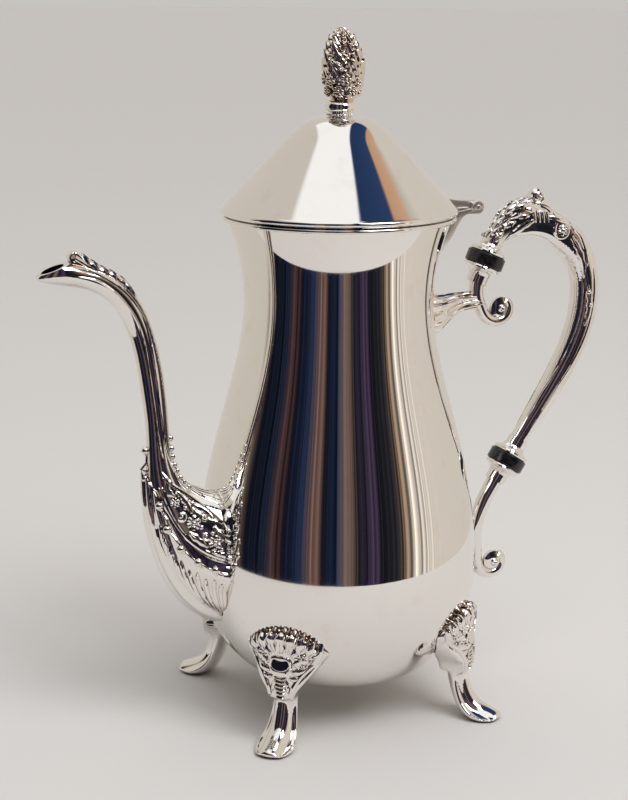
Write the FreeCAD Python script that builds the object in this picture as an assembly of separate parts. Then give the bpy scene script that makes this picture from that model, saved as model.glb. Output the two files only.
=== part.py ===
import FreeCAD, Part
import math
import os

# A footed coffee pot with a hinged lid, a swan-neck spout and a scroll handle.
# Millimetres. +Z is up from the table, +X runs to the handle, the spout points to -X.
# The origin is on the body's own axis, at table height.

V = FreeCAD.Vector
SIDE = V(0, 1, 0)
UP = V(0, 0, 1)

# Body: one spun shell, given by its widest, narrowest and end circles
body_wall = 1.2
base_height = 13.0
base_radius = 22.0
base_round = 18.0
belly_radius = 56.0
belly_height = 58.0
belly_round_low = 24.0
belly_round_high = 45.0
waist_radius = 37.3
waist_height = 165.0
waist_round_low = 30.0
waist_round_high = 14.0
mouth_radius = 44.4
mouth_height = 198.6
mouth_flare_out = 3.4
mouth_flare_down = 8.1
mouth_wire_radius = 0.9

# Strainer: holes through the body wall behind the spout
strainer_hole_radius = 1.9
strainer_pitch = 7.0
strainer_height = 68.0

# Lid: a spun cone with a rounded top, a moulded rim and a bezel that drops into the mouth
lid_gap = 0.4
lid_wall = 1.2
lid_radius = 46.2
lid_edge_step = 0.8
lid_rim_height = 2.5
lid_rim_tuck = 1.0
lid_flange = 1.2
lid_shoulder_radius = 20.5
lid_shoulder_rise = 26.5
lid_shoulder_round = 6.6
lid_top_rise = 34.7
lid_top_flat = 6.0
bezel_drop = 4.6
bezel_wall = 1.1
bezel_clearance = 0.7

# Finial: a twisted leaf bud, fuller towards the handle, on a turned collar; stud, washer and nut hold it
collar_radius = 5.6
collar_waist = 4.5
collar_height = 4.9
bud_radius = 8.3
bud_height = 29.0
bud_leaves = 7
bud_leaf_depth = 1.1
bud_twist = 75.0
bud_bow = 1.5
stud_radius = 1.75
stud_clearance = 0.08
washer_radius = 5.2
washer_thickness = 1.0
nut_flats = 7.0
nut_height = 2.8
stud_end = 1.2

# Hinge: three knuckles on one pin behind the mouth
hinge_out = 13.6
hinge_up = 0.9
knuckle_radius = 2.4
lid_knuckle_width = 5.4
side_knuckle_width = 3.0
knuckle_gap = 0.25
pin_radius = 1.1
pin_running_clearance = 0.05
pin_grip_clearance = 0.01
pin_end = 0.4
leaf_tip_radius = 42.6
leaf_half_width = 5.6
leaf_under = 0.4
strap_thickness = 3.6
strap_drop = 30.0
strap_foot_half_width = 3.2
hinge_swing_room = 0.5

# Heat breaks between the handle and its two sockets
insulator_radius = 7.9
insulator_thickness = 5.0
spigot_radius = 2.6
spigot_length = 6.5
spigot_clearance = 0.05
cross_pin_radius = 0.7
cross_pin_inset = 4.2
cross_pin_clearance = 0.03
collar_ring_radius = 6.6
collar_ring_height = 1.7
ferrule_radius = 4.3
ferrule_length = 7.6
upper_break_out = 27.35
upper_break_up = 12.4
upper_break_lean = 67.0
lower_break_out = 21.3
lower_break_up = 34.25
lower_break_lean = 57.1

# Handle: a scroll of round section, thickest in the bow
handle_reach = 117.6
handle_bow_height = 160.5
handle_bow_half = 5.9
handle_end_half = 3.5
handle_crest_pull = 27.0
handle_bow_pull = 36.0
handle_fall_pull = 22.0
handle_low_pull = 26.0
cap_leaf_half = 4.6
thumb_knob_radius = 3.5
thumb_knob_back = 30.4
thumb_knob_height = 202.2

# Sockets: arms from the body to the heat breaks, each ending in a scroll
upper_root_half_height = 10.0
upper_root_half_width = 8.0
upper_root_drop = 9.0
lower_root_half_height = 11.0
lower_root_half_width = 7.0
lower_root_rise = 6.0
root_depth = 5.0
arm_half = 3.5
scroll_radius = 4.2
scroll_wire = 2.0
scroll_eye = 2.3
upper_eye_out = 34.9
upper_eye_drop = 7.9
lower_eye_out = 16.2
lower_eye_drop = 9.6

# Spout: hollow swan neck on a bulbous root
spout_wall = 1.4
spout_reach = 120.0
spout_tip_height = 181.4
spout_tip_half = 0.9
spout_lip_half_width = 2.4
spout_lip_spread = 1.4
spout_root_inside = 16.0
spout_root_half_width = 18.0
spout_root_low = 40.0
spout_root_high = 92.0
spout_neck_out = 18.8
spout_neck_height = 112.0
spout_tube_half = 4.7
spout_mouth_slope = 20.0
spout_mouth_length = 13.5
shell_flutes = 14
shell_flute_depth = 1.5
shell_skin = 0.9
shell_tip_height = 111.0
shell_side_height = 68.0
crest_half = 2.1
flank_leaf_thickness = 1.0
flank_leaf_tip = 117.0

# Feet: a shell plate on the belly, a slim leg and a spread toe
foot_face = 1.5
foot_web = 11.0
foot_plate_top = 45.5
foot_plate_half_width = 17.3
foot_plate_shoulder = 37.5
ankle_height = 19.0
ankle_half_width = 5.0
ankle_half_depth = 3.9
ankle_in = 3.1
toe_reach = 70.5
toe_half_width = 8.0
toe_half_height = 3.6
foot_angles = [45, 135, 225, 315]

# Worked out from the sizes above
lid_seat = mouth_height + lid_gap
lid_rim_top = lid_seat + lid_rim_height
lid_edge_radius = lid_radius - lid_edge_step
lid_top = lid_rim_top + lid_top_rise
hinge_x = mouth_radius + hinge_out
hinge_z = mouth_height + hinge_up
far = 200.0


def at(x, z, y=0.0):
    return V(x, y, z)


def line(start, end):
    return Part.makeLine(at(*start), at(*end))


def curve(*poles):
    smooth = Part.BezierCurve()
    smooth.setPoles(list(poles))
    return smooth


def bezier(*poles):
    return curve(*[at(*pole) for pole in poles]).toShape()


def spread(count, *poles):
    """Points at even steps along a smooth curve in the XZ plane."""
    path = curve(*[at(*pole) for pole in poles])
    return [path.value(step / (count - 1)) for step in range(count)]


def arc(start, middle, end):
    return Part.Arc(at(*start), at(*middle), at(*end)).toShape()


def closed_face(edges):
    return Part.Face(Part.Wire(Part.__sortEdges__(edges)))


def spun(edges):
    return closed_face(edges).revolve(V(0, 0, 0), UP, 360)


def slab(edges, half_width):
    """A closed outline in the XZ plane, thickened both ways along Y."""
    face = closed_face(edges)
    face.translate(V(0, -half_width, 0))
    return face.extrude(V(0, 2 * half_width, 0))


def cylinder(start, direction, radius, length):
    return Part.makeCylinder(radius, length, start, direction)


def joined(first, *others):
    shape = first.fuse(list(others)).removeSplitter()
    if len(shape.Solids) != 1:
        raise ValueError("pieces of one casting do not meet: %d solids" % len(shape.Solids))
    return shape.Solids[0]


def one_solid(shape):
    """The largest solid of a cut, without loose slivers on the far side of what was cut away."""
    return max(shape.Solids, key=lambda solid: solid.Volume)


def loop(points):
    """Smooth closed curve; even parameters let the loops of one skin share their knots."""
    ring = Part.BSplineCurve()
    even = [step / len(points) for step in range(len(points) + 1)]
    ring.interpolate(Points=points, PeriodicFlag=True, Parameters=even)
    return ring


def lofted(loops):
    """Solid skinned over closed curves that share their knots, with a flat cap at each end."""
    rows = [ring.getPoles() for ring in loops]
    travel = [0.0]
    for before, after in zip(rows, rows[1:]):
        step = sum((b - a).Length for a, b in zip(before, after)) / len(before)
        travel.append(travel[-1] + step)
    rails = []
    for place in range(len(rows[0])):
        rail = Part.BSplineCurve()
        rail.interpolate(Points=[row[place] for row in rows], Parameters=travel)
        rails.append(rail)
    ring = loops[0]
    rail = rails[0]
    surface = Part.BSplineSurface()
    surface.buildFromPolesMultsKnots([each.getPoles() for each in rails], ring.getMultiplicities(),
                                     rail.getMultiplicities(), ring.getKnots(), rail.getKnots(),
                                     True, False, ring.Degree, rail.Degree)
    caps = [Part.Face(Part.Wire(end.toShape())) for end in (loops[0], loops[-1])]
    shell = Part.makeShell([surface.toShape()] + caps)
    shell.sewShape()
    solid = Part.makeSolid(shell)
    if solid.Volume < 0:
        solid.reverse()
    return solid


def oval(centre, across, half_across, half_side, lobes=0, depth=0.0):
    """Closed curve round centre; across lies in the XZ plane. Lobes swell the side that across points to."""
    count = 4 * lobes if lobes else 12
    points = []
    for step in range(count):
        turn = 2 * math.pi * step / count
        swell = depth * (1 + math.cos(turn)) / 2 * (1 + math.cos(lobes * turn)) / 2
        along = across * ((half_across + swell) * math.cos(turn))
        points.append(centre + along + SIDE * ((half_side + swell) * math.sin(turn)))
    return loop(points)


def tube(points, half_depth, half_width=None, first=None, last=None):
    """Skin of ovals along points in the XZ plane; the half sizes are functions of the share of the way."""
    half_width = half_width or half_depth
    end = len(points) - 1
    rings = []
    for i, middle in enumerate(points):
        path = points[min(i + 1, end)] - points[max(i - 1, 0)]
        if i == 0 and first:
            path = first
        if i == end and last:
            path = last
        across = SIDE.cross(path).normalize()
        rings.append(oval(middle, across, half_depth(i / end), half_width(i / end)))
    return lofted(rings)


def taper(start, end, power=1.0):
    """Size that runs from start to end along a piece, fast at first when power is above one."""
    return lambda share: end + (start - end) * (1 - share) ** power


def swell(end, middle):
    """Size that grows from each end to the middle of a piece."""
    return lambda share: end + (middle - end) * math.sin(math.pi * share) ** 1.3


def body_outline(inset):
    base = (base_radius, base_height + inset)
    belly = (belly_radius - inset, belly_height)
    waist = (waist_radius - inset, waist_height)
    mouth = (mouth_radius - inset, mouth_height)
    low = bezier(base, (base[0] + base_round, base[1]), (belly[0], belly[1] - belly_round_low), belly)
    flank = bezier(belly, (belly[0], belly[1] + belly_round_high),
                   (waist[0], waist[1] - waist_round_low), waist)
    flare = (mouth[0] - mouth_flare_out, mouth[1] - mouth_flare_down)
    neck = bezier(waist, (waist[0], waist[1] + waist_round_high), flare, mouth)
    return [low, flank, neck]


def body_filled(inset):
    edges = body_outline(inset)
    floor = base_height + inset
    edges.append(line((0, floor), (base_radius, floor)))
    edges.append(line((mouth_radius - inset, mouth_height), (0, mouth_height)))
    edges.append(line((0, mouth_height), (0, floor)))
    return spun(edges)


def body_radius_at(height, inset=0.0):
    """Radius of the body's outer surface, or of a surface inset from it, at a height."""
    cutter = Part.makePlane(far, far, V(0, -far / 2, height))
    crossing = [edge.section(cutter).Vertexes for edge in body_outline(inset)]
    return max(vertex.X for found in crossing for vertex in found)


body_blank = body_filled(0.0)


def make_body():
    shell = body_blank.cut(body_filled(body_wall))
    holes = []
    row_height = strainer_pitch * math.sqrt(3) / 2
    for row in (-1, 0, 1):
        in_row = 4 - abs(row)
        for place in range(in_row):
            y = (place - (in_row - 1) / 2) * strainer_pitch
            start = V(-belly_radius - body_wall, y, strainer_height + row * row_height)
            holes.append(cylinder(start, V(1, 0, 0), strainer_hole_radius, belly_radius / 2))
    return shell.cut(holes)


def make_mouth_rim():
    middle = mouth_radius + mouth_wire_radius / 2
    ring = Part.makeTorus(middle, mouth_wire_radius, V(0, 0, mouth_height - mouth_wire_radius))
    return one_solid(ring.cut(body_blank))


def lid_outline(inset):
    edge = V(lid_edge_radius, 0, lid_rim_top)
    shoulder = V(lid_shoulder_radius, 0, lid_rim_top + lid_shoulder_rise)
    climb = (shoulder - edge).normalize()
    outward = V(climb.z, 0, -climb.x)
    edge = edge - V(inset / outward.x, 0, 0)
    shoulder = shoulder - outward * inset
    bend = shoulder + climb * lid_shoulder_round
    top = lid_top - inset
    cone = line((edge.x, edge.z), (shoulder.x, shoulder.z))
    crown = bezier((shoulder.x, shoulder.z), (bend.x, bend.z), (2 * lid_top_flat, top), (lid_top_flat, top))
    return [cone, crown], edge.x


def lid_filled(inset):
    edges, edge_radius = lid_outline(inset)
    top = lid_top - inset
    edges.append(line((lid_top_flat, top), (0, top)))
    edges.append(line((0, top), (0, lid_rim_top)))
    edges.append(line((0, lid_rim_top), (edge_radius, lid_rim_top)))
    return spun(edges)


def make_lid_shell():
    shell = lid_filled(0.0).cut(lid_filled(lid_wall))
    hole = cylinder(V(0, 0, lid_rim_top), UP, stud_radius + stud_clearance, lid_top_rise + 1)
    return shell.cut(hole)


def bezel_radius():
    return body_radius_at(mouth_height - bezel_drop, body_wall) - bezel_clearance


def make_lid_rim():
    inner = bezel_radius()
    lip = lid_outline(lid_wall)[1]
    flange_top = lid_seat + lid_flange
    edges = [
        line((inner, lid_seat), (lid_radius - lid_rim_tuck, lid_seat)),
        arc((lid_radius - lid_rim_tuck, lid_seat), (lid_radius, lid_seat + lid_rim_height / 2),
            (lid_edge_radius, lid_rim_top)),
        line((lid_edge_radius, lid_rim_top), (lip, lid_rim_top)),
        line((lip, lid_rim_top), (lip, flange_top)),
        line((lip, flange_top), (inner, flange_top)),
        line((inner, flange_top), (inner, lid_seat)),
    ]
    return spun(edges)


def make_lid_bezel():
    outer = bezel_radius()
    low = V(0, 0, mouth_height - bezel_drop)
    height = lid_seat + lid_flange - low.z
    ring = Part.makeCylinder(outer, height, low)
    return ring.cut(Part.makeCylinder(outer - bezel_wall, height, low))


def make_finial_collar():
    top = lid_top + collar_height
    swell_at = lid_top + 0.3 * collar_height
    neck = lid_top + 0.6 * collar_height
    edges = [
        line((0, lid_top), (collar_waist, lid_top)),
        arc((collar_waist, lid_top), (collar_radius, swell_at), (collar_waist, neck)),
        line((collar_waist, neck), (collar_waist, top)),
        line((collar_waist, top), (0, top)),
        line((0, top), (0, lid_top)),
    ]
    hole = cylinder(V(0, 0, lid_top - 1), UP, stud_radius + stud_clearance, collar_height + 2)
    return spun(edges).cut(hole)


def make_finial():
    low = lid_top + collar_height
    tip = 0.06 * bud_radius
    side = curve(V(bud_radius / 2, 0, 0), V(1.62 * bud_radius, 0, 0.15 * bud_height),
                 V(0.62 * bud_radius, 0, 0.55 * bud_height), V(0.72 * bud_radius, 0, 0.92 * bud_height),
                 V(tip, 0, bud_height))
    rings = []
    for place in range(8):
        reach = side.value(place / 7)
        depth = bud_leaf_depth * min(1.0, reach.x / bud_radius)
        turn_on = math.radians(bud_twist) * reach.z / bud_height
        middle = V(bud_bow * math.sin(math.pi * math.sqrt(place / 7)), 0, low + reach.z)
        points = []
        for step in range(4 * bud_leaves):
            turn = 2 * math.pi * step / (4 * bud_leaves)
            radius = reach.x - depth / 2 + depth / 2 * math.cos(bud_leaves * turn)
            points.append(middle + V(math.cos(turn + turn_on), math.sin(turn + turn_on), 0) * radius)
        rings.append(loop(points))
    bud = lofted(rings)
    stud_low = lid_top - lid_wall - washer_thickness - nut_height - stud_end
    stud = cylinder(V(0, 0, stud_low), UP, stud_radius, low - stud_low + bud_radius)
    return joined(bud, stud)


def make_finial_washer():
    low = V(0, 0, lid_top - lid_wall - washer_thickness)
    disc = Part.makeCylinder(washer_radius, washer_thickness, low)
    return disc.cut(Part.makeCylinder(stud_radius + stud_clearance, washer_thickness, low))


def make_finial_nut():
    low = lid_top - lid_wall - washer_thickness - nut_height
    corner = nut_flats / math.sqrt(3)
    turns = [k * math.pi / 3 for k in range(7)]
    corners = [V(corner * math.cos(turn), corner * math.sin(turn), low) for turn in turns]
    block = Part.Face(Part.makePolygon(corners)).extrude(V(0, 0, nut_height))
    return block.cut(Part.makeCylinder(stud_radius + stud_clearance / 2, nut_height, V(0, 0, low)))


def across_hinge(radius, low_y, high_y):
    return cylinder(V(hinge_x, low_y, hinge_z), SIDE, radius, high_y - low_y)


def make_hinge_lid_leaf():
    half_knuckle = lid_knuckle_width / 2
    steep = lid_shoulder_rise / (lid_edge_radius - lid_shoulder_radius)
    tip = (leaf_tip_radius, lid_rim_top + steep * (lid_edge_radius - leaf_tip_radius))
    top = hinge_z + knuckle_radius
    under = hinge_z - leaf_under
    inside = (leaf_tip_radius - lid_wall, under)
    dip = (lid_edge_radius - lid_edge_step, (tip[1] + top) / 2)
    side_view = [
        bezier(tip, dip, (lid_radius + knuckle_radius, top), (hinge_x, top)),
        line((hinge_x, top), (hinge_x, under)),
        line((hinge_x, under), inside),
        line(inside, tip),
    ]
    # seen from above: as narrow as its knuckle as far as the lid, then a pointed leaf
    neck_x = lid_radius + hinge_swing_room
    widest_x = (lid_radius + leaf_tip_radius) / 2
    plan = []
    for hand in (-1, 1):
        side = hand * half_knuckle
        wide = hand * leaf_half_width
        plan.append(Part.makeLine(V(hinge_x, side, 0), V(neck_x, side, 0)))
        plan.append(curve(V(neck_x, side, 0), V(lid_edge_radius, side, 0), V(lid_edge_radius, wide, 0),
                          V(widest_x, wide, 0)).toShape())
        plan.append(curve(V(widest_x, wide, 0), V(leaf_tip_radius, wide, 0),
                          V(leaf_tip_radius, 0, 0)).toShape())
    plan.append(Part.makeLine(V(hinge_x, -half_knuckle, 0), V(hinge_x, half_knuckle, 0)))
    outline = closed_face(plan).extrude(V(0, 0, 2 * far))
    leaf = slab(side_view, 2 * leaf_half_width).common(outline)
    rim_solid = Part.makeCylinder(lid_radius + hinge_swing_room / 2, lid_rim_height, V(0, 0, lid_seat))
    leaf = one_solid(leaf.cut([lid_filled(0.0), rim_solid]))
    knuckle = across_hinge(knuckle_radius, -half_knuckle, half_knuckle)
    bore = across_hinge(pin_radius + pin_running_clearance, -half_knuckle, half_knuckle)
    return one_solid(joined(leaf, knuckle).cut(bore))


def make_hinge_body_bracket(mouth_rim):
    near = lid_knuckle_width / 2 + knuckle_gap
    half_width = near + side_knuckle_width
    foot = mouth_height - strap_drop
    inside = waist_radius / 2
    under_rim = mouth_height - mouth_wire_radius
    clear_x = lid_radius + hinge_swing_room
    drop = hinge_z - knuckle_radius
    elbow = (hinge_x - 2 * knuckle_radius, drop)
    bend = (mouth_radius + strap_thickness, mouth_height - 2 * strap_thickness)
    foot_face_x = body_radius_at(foot) + strap_thickness / 2
    midway = mouth_height - strap_drop / 2
    side_view = [
        line((hinge_x, drop), (hinge_x, hinge_z)),
        line((hinge_x, hinge_z), (clear_x, under_rim)),
        line((clear_x, under_rim), (inside, under_rim)),
        line((inside, under_rim), (inside, foot)),
        line((inside, foot), (foot_face_x, foot)),
        bezier((foot_face_x, foot), (foot_face_x + strap_thickness / 2, midway),
               (mouth_radius, midway), bend),
        bezier(bend, (mouth_radius + 1.8 * strap_thickness, mouth_height - strap_thickness / 2), elbow),
        line(elbow, (hinge_x, drop)),
    ]
    top = hinge_z + knuckle_radius
    front = []
    for hand in (-1, 1):
        wide = hand * half_width
        slim = hand * strap_foot_half_width
        front.append(Part.makeLine(V(0, wide, top), V(0, wide, bend[1])))
        front.append(curve(V(0, wide, bend[1]), V(0, wide, midway), V(0, slim, midway),
                           V(0, slim, foot)).toShape())
    front.append(Part.makeLine(V(0, -half_width, top), V(0, half_width, top)))
    front.append(Part.makeLine(V(0, -strap_foot_half_width, foot), V(0, strap_foot_half_width, foot)))
    strap = slab(side_view, half_width).common(closed_face(front).extrude(V(far, 0, 0)))
    slot = Part.makeBox(far, 2 * near, far, V(0, -near, hinge_z - leaf_under - hinge_swing_room))
    room = across_hinge(knuckle_radius + hinge_swing_room, -near, near)
    strap = one_solid(strap.cut([body_blank, mouth_rim, slot, room]))
    knuckles = [across_hinge(knuckle_radius, low, low + side_knuckle_width) for low in (near, -half_width)]
    bore = across_hinge(pin_radius + pin_grip_clearance, -half_width, half_width)
    return one_solid(joined(strap, *knuckles).cut(bore))


def make_hinge_pin():
    half = lid_knuckle_width / 2 + knuckle_gap + side_knuckle_width + pin_end
    return across_hinge(pin_radius, -half, half)


class HeatBreak:
    """One black disc with a spigot each way, and the frame that its neighbours are built on."""

    def __init__(self, x, z, lean):
        self.axis = V(math.cos(math.radians(lean)), 0, math.sin(math.radians(lean)))
        self.centre = at(x, z)

    def along(self, distance):
        return self.centre + self.axis * distance

    def from_face(self, hand, distance):
        """Point on the axis at a distance above or below the disc."""
        return self.along(hand * (insulator_thickness / 2 + distance))

    def pin(self, hand, extra=0.0):
        middle = self.from_face(hand, cross_pin_inset)
        half = collar_ring_radius
        return cylinder(middle - SIDE * half, SIDE, cross_pin_radius + extra, 2 * half)

    def disc(self):
        plate = cylinder(self.from_face(-1, 0), self.axis, insulator_radius, insulator_thickness)
        plate = plate.makeFillet(insulator_thickness / 10, plate.Edges)
        reach = insulator_thickness / 2 + spigot_length
        spigot = cylinder(self.along(-reach), self.axis, spigot_radius, 2 * reach)
        holes = [self.pin(hand, cross_pin_clearance) for hand in (-1, 1)]
        return one_solid(joined(plate, spigot).cut(holes))

    def pins(self):
        """Two cross pins, each cut off flush with the ferrule that it holds."""
        return Part.makeCompound([one_solid(self.pin(hand).common(self.ferrule(hand))) for hand in (-1, 1)])

    def ferrule(self, hand):
        return cylinder(self.from_face(hand, 0), self.axis * hand, ferrule_radius, ferrule_length)

    def collar(self, hand):
        ring = cylinder(self.from_face(hand, 0), self.axis * hand, collar_ring_radius, collar_ring_height)
        ring = ring.makeFillet(collar_ring_height / 3, ring.Edges)
        return joined(ring, self.ferrule(hand))

    def socket_cut(self, hand):
        bore = cylinder(self.from_face(hand, 0), self.axis * hand, spigot_radius + spigot_clearance,
                        spigot_length + spigot_clearance)
        return [bore, self.pin(hand, cross_pin_clearance)]


upper_break = HeatBreak(waist_radius + upper_break_out, waist_height + upper_break_up, upper_break_lean)
lower_break = HeatBreak(belly_radius + lower_break_out, belly_height + lower_break_up, lower_break_lean)


def scroll_stem(heat_break, eye, start_angle):
    """A wire that leaves the heat break, runs down beside the eye and curls up round it to a ball."""
    turns = 415 - start_angle
    curl = []
    for step in range(8):
        share = step / 7
        turn = math.radians(start_angle + turns * share)
        reach = scroll_radius * (0.9 + 1.4 * (1 - share) ** 3)
        curl.append(eye + V(math.cos(turn), 0, math.sin(turn)) * reach)
    start = heat_break.from_face(-1, collar_ring_height)
    pull = (start - curl[0]).Length * 0.4
    bend = start - heat_break.axis * pull
    lead = curl[0] + (curl[0] - curl[1]).normalize() * pull
    stem = spread(5, (start.x, start.z), (bend.x, bend.z), (lead.x, lead.z), (curl[0].x, curl[0].z))
    wire = tube(stem[:-1] + curl, taper(arm_half, scroll_wire, 1.5), first=heat_break.axis * -1)
    return joined(wire, Part.makeSphere(scroll_eye, eye)), stem


def make_socket(heat_break, eye, start_angle, root, root_half_height, root_half_width):
    """Casting that carries one end of the handle: root on the body, scroll stem and collar."""
    wire, stem = scroll_stem(heat_break, eye, start_angle)
    meet = stem[-2]
    knee = (root.x + meet.x) / 2
    path = spread(5, (root.x, root.z), (knee, root.z), (knee, meet.z), (meet.x, meet.z))
    arm = tube(path, taper(root_half_height, scroll_wire, 2), taper(root_half_width, scroll_wire, 2),
               first=V(1, 0, 0), last=V(1, 0, 0))
    casting = joined(wire, arm, heat_break.collar(-1))
    return one_solid(casting.cut([body_blank] + heat_break.socket_cut(-1)))


def make_upper_socket():
    eye = at(waist_radius + upper_eye_out, waist_height - upper_eye_drop)
    root = at(waist_radius - root_depth, waist_height - upper_root_drop)
    return make_socket(upper_break, eye, 170, root, upper_root_half_height, upper_root_half_width)


def make_lower_socket():
    eye = at(belly_radius + lower_eye_out, belly_height - lower_eye_drop)
    root = at(belly_radius - root_depth, belly_height + lower_root_rise)
    return make_socket(lower_break, eye, 150, root, lower_root_half_height, lower_root_half_width)


def make_handle():
    top = upper_break.from_face(1, collar_ring_height / 2)
    low = lower_break.from_face(1, collar_ring_height / 2)
    bow = at(handle_reach - handle_bow_half, handle_bow_height)
    crest = top + upper_break.axis * handle_crest_pull
    back = low + lower_break.axis * handle_low_pull
    rise = spread(6, (top.x, top.z), (crest.x, crest.z), (bow.x, bow.z + handle_bow_pull), (bow.x, bow.z))
    fall = spread(6, (bow.x, bow.z), (bow.x, bow.z - handle_fall_pull), (back.x, back.z), (low.x, low.z))
    bar = tube(rise[:-1] + fall, swell(handle_end_half, handle_bow_half),
               first=upper_break.axis, last=lower_break.axis * -1)
    # leaf cap over the crest, with a knob for the thumb
    knob = at(handle_reach - thumb_knob_back, thumb_knob_height)
    lift = knob.z - thumb_knob_radius
    cap = tube(spread(5, (rise[1].x - 4, rise[1].z), (rise[1].x - 2, lift), (knob.x - 5, lift),
                      (knob.x + 4, lift - cap_leaf_half)), swell(0.8 * cap_leaf_half, cap_leaf_half))
    ball = Part.makeSphere(thumb_knob_radius, knob)
    casting = joined(bar, cap, ball, upper_break.collar(1), lower_break.collar(1))
    return one_solid(casting.cut(upper_break.socket_cut(1) + lower_break.socket_cut(1)))


def spout_stations():
    """Inner point, outer point and half width of each cross-section, from the body to the lip."""
    belly = -belly_radius
    start = belly + spout_root_inside
    neck = belly - spout_neck_out
    inner_foot = neck + spout_tube_half
    outer_foot = neck - spout_tube_half
    root = 6
    saddle = spread(root, (start, spout_root_high), (inner_foot + 8, spout_root_high),
                    (inner_foot + 1.5, spout_root_high + 5), (inner_foot, spout_neck_height))
    keel = spread(root, (start, spout_root_low), (outer_foot + 11.5, spout_root_low - 3),
                  (outer_foot - 4.5, spout_root_low + 30), (outer_foot, spout_neck_height))
    stations = []
    for step in range(root):
        narrowing = math.cos(math.pi / 2 * step / (root - 1)) ** 1.2
        half_width = spout_tube_half + (spout_root_half_width - spout_tube_half) * narrowing
        stations.append((saddle[step], keel[step], half_width))
    tip = -spout_reach
    swan = spread(8, (neck, spout_neck_height), (neck - 3, spout_tip_height - 11.5),
                  (tip + 33, spout_tip_height - 3), (tip + 7, spout_tip_height + 0.8))
    for step in range(1, len(swan)):
        path = swan[min(step + 1, len(swan) - 1)] - swan[step - 1]
        outward = SIDE.cross(path).normalize() * -spout_tube_half
        half_width = spout_tube_half + spout_lip_spread * (step / len(swan)) ** 3
        stations.append((swan[step] - outward, swan[step] + outward, half_width))
    return stations


def spout_sections(inset, lobes=0, depth=0.0):
    rings = []
    for inner, outer, half_width in spout_stations():
        across = outer - inner
        half = across.Length / 2 - inset
        across.normalize()
        rings.append(oval((inner + outer) * 0.5, across, half, half_width - inset, lobes, depth))
    return rings


def make_shell():
    """Fluted shell round the spout's root, cut off along an edge that sweeps up to its tip."""
    flutes = lofted(spout_sections(-shell_skin, shell_flutes, shell_flute_depth)[:7])
    tip_x = -belly_radius - spout_neck_out - 2 * spout_tube_half
    seam_x = spout_root_inside / 2 - belly_radius
    rim = bezier((seam_x, shell_side_height), (seam_x - 14, shell_side_height - 2),
                 (tip_x + 10, shell_side_height + 10), (tip_x, shell_tip_height))
    corner = tip_x - spout_root_half_width
    keep = [
        rim,
        line((tip_x, shell_tip_height), (corner, shell_tip_height)),
        line((corner, shell_tip_height), (corner, 0)),
        line((corner, 0), (0, 0)),
        line((0, 0), (0, shell_side_height)),
        line((0, shell_side_height), (seam_x, shell_side_height)),
    ]
    return one_solid(flutes.common(slab(keep, 2 * spout_root_half_width)))


def make_flank_leaf(hand):
    """Narrow leaf that climbs the body beside the saddle."""
    wide = spout_root_half_width
    low = spout_root_high - 6
    edge = Part.BSplineCurve()
    edge.interpolate([
        V(0, hand * 0.3 * wide, low), V(0, hand * 0.56 * wide, spout_root_high + 5),
        V(0, hand * 0.72 * wide, flank_leaf_tip), V(0, hand * 0.94 * wide, spout_root_high + 10),
        V(0, hand * wide, low),
    ])
    base = Part.makeLine(edge.EndPoint, edge.StartPoint)
    plate = Part.Face(Part.Wire([edge.toShape(), base])).extrude(V(-far, 0, 0))
    return body_filled(-flank_leaf_thickness).common(plate)


def make_spout():
    tip = V(-spout_reach, 0, spout_tip_height)
    down = V(0, 0, -1)
    point = oval(tip + down * spout_tip_half, down, spout_tip_half, spout_lip_half_width)
    skin = lofted(spout_sections(0.0) + [point])
    crest = tube(spread(5, (tip.x + 35, tip.z - 7), (tip.x + 27, tip.z - 2.5), (tip.x + 20, tip.z + 1.5),
                        (tip.x + spout_mouth_length, tip.z + 6)),
                 taper(0.7 * crest_half, crest_half), taper(crest_half, 1.6 * crest_half))
    casting = joined(skin, make_shell(), crest, make_flank_leaf(-1), make_flank_leaf(1))
    # bore, open to the strainer and out through the lip
    mouth_end = oval(tip + V(1.0, 0, 3.2), down, 2.4, 1.6)
    bore = lofted(spout_sections(spout_wall) + [mouth_end])
    rise = math.tan(math.radians(spout_mouth_slope))
    run = spout_mouth_length
    high = tip.z + 2 * run
    lip = [
        line((tip.x - 1, tip.z - rise), (tip.x + run, tip.z + rise * run)),
        line((tip.x + run, tip.z + rise * run), (tip.x + run, high)),
        line((tip.x + run, high), (tip.x - 1, high)),
        line((tip.x - 1, high), (tip.x - 1, tip.z - rise)),
    ]
    return one_solid(casting.cut([body_blank, bore, slab(lip, 2 * spout_root_half_width)]))


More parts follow.
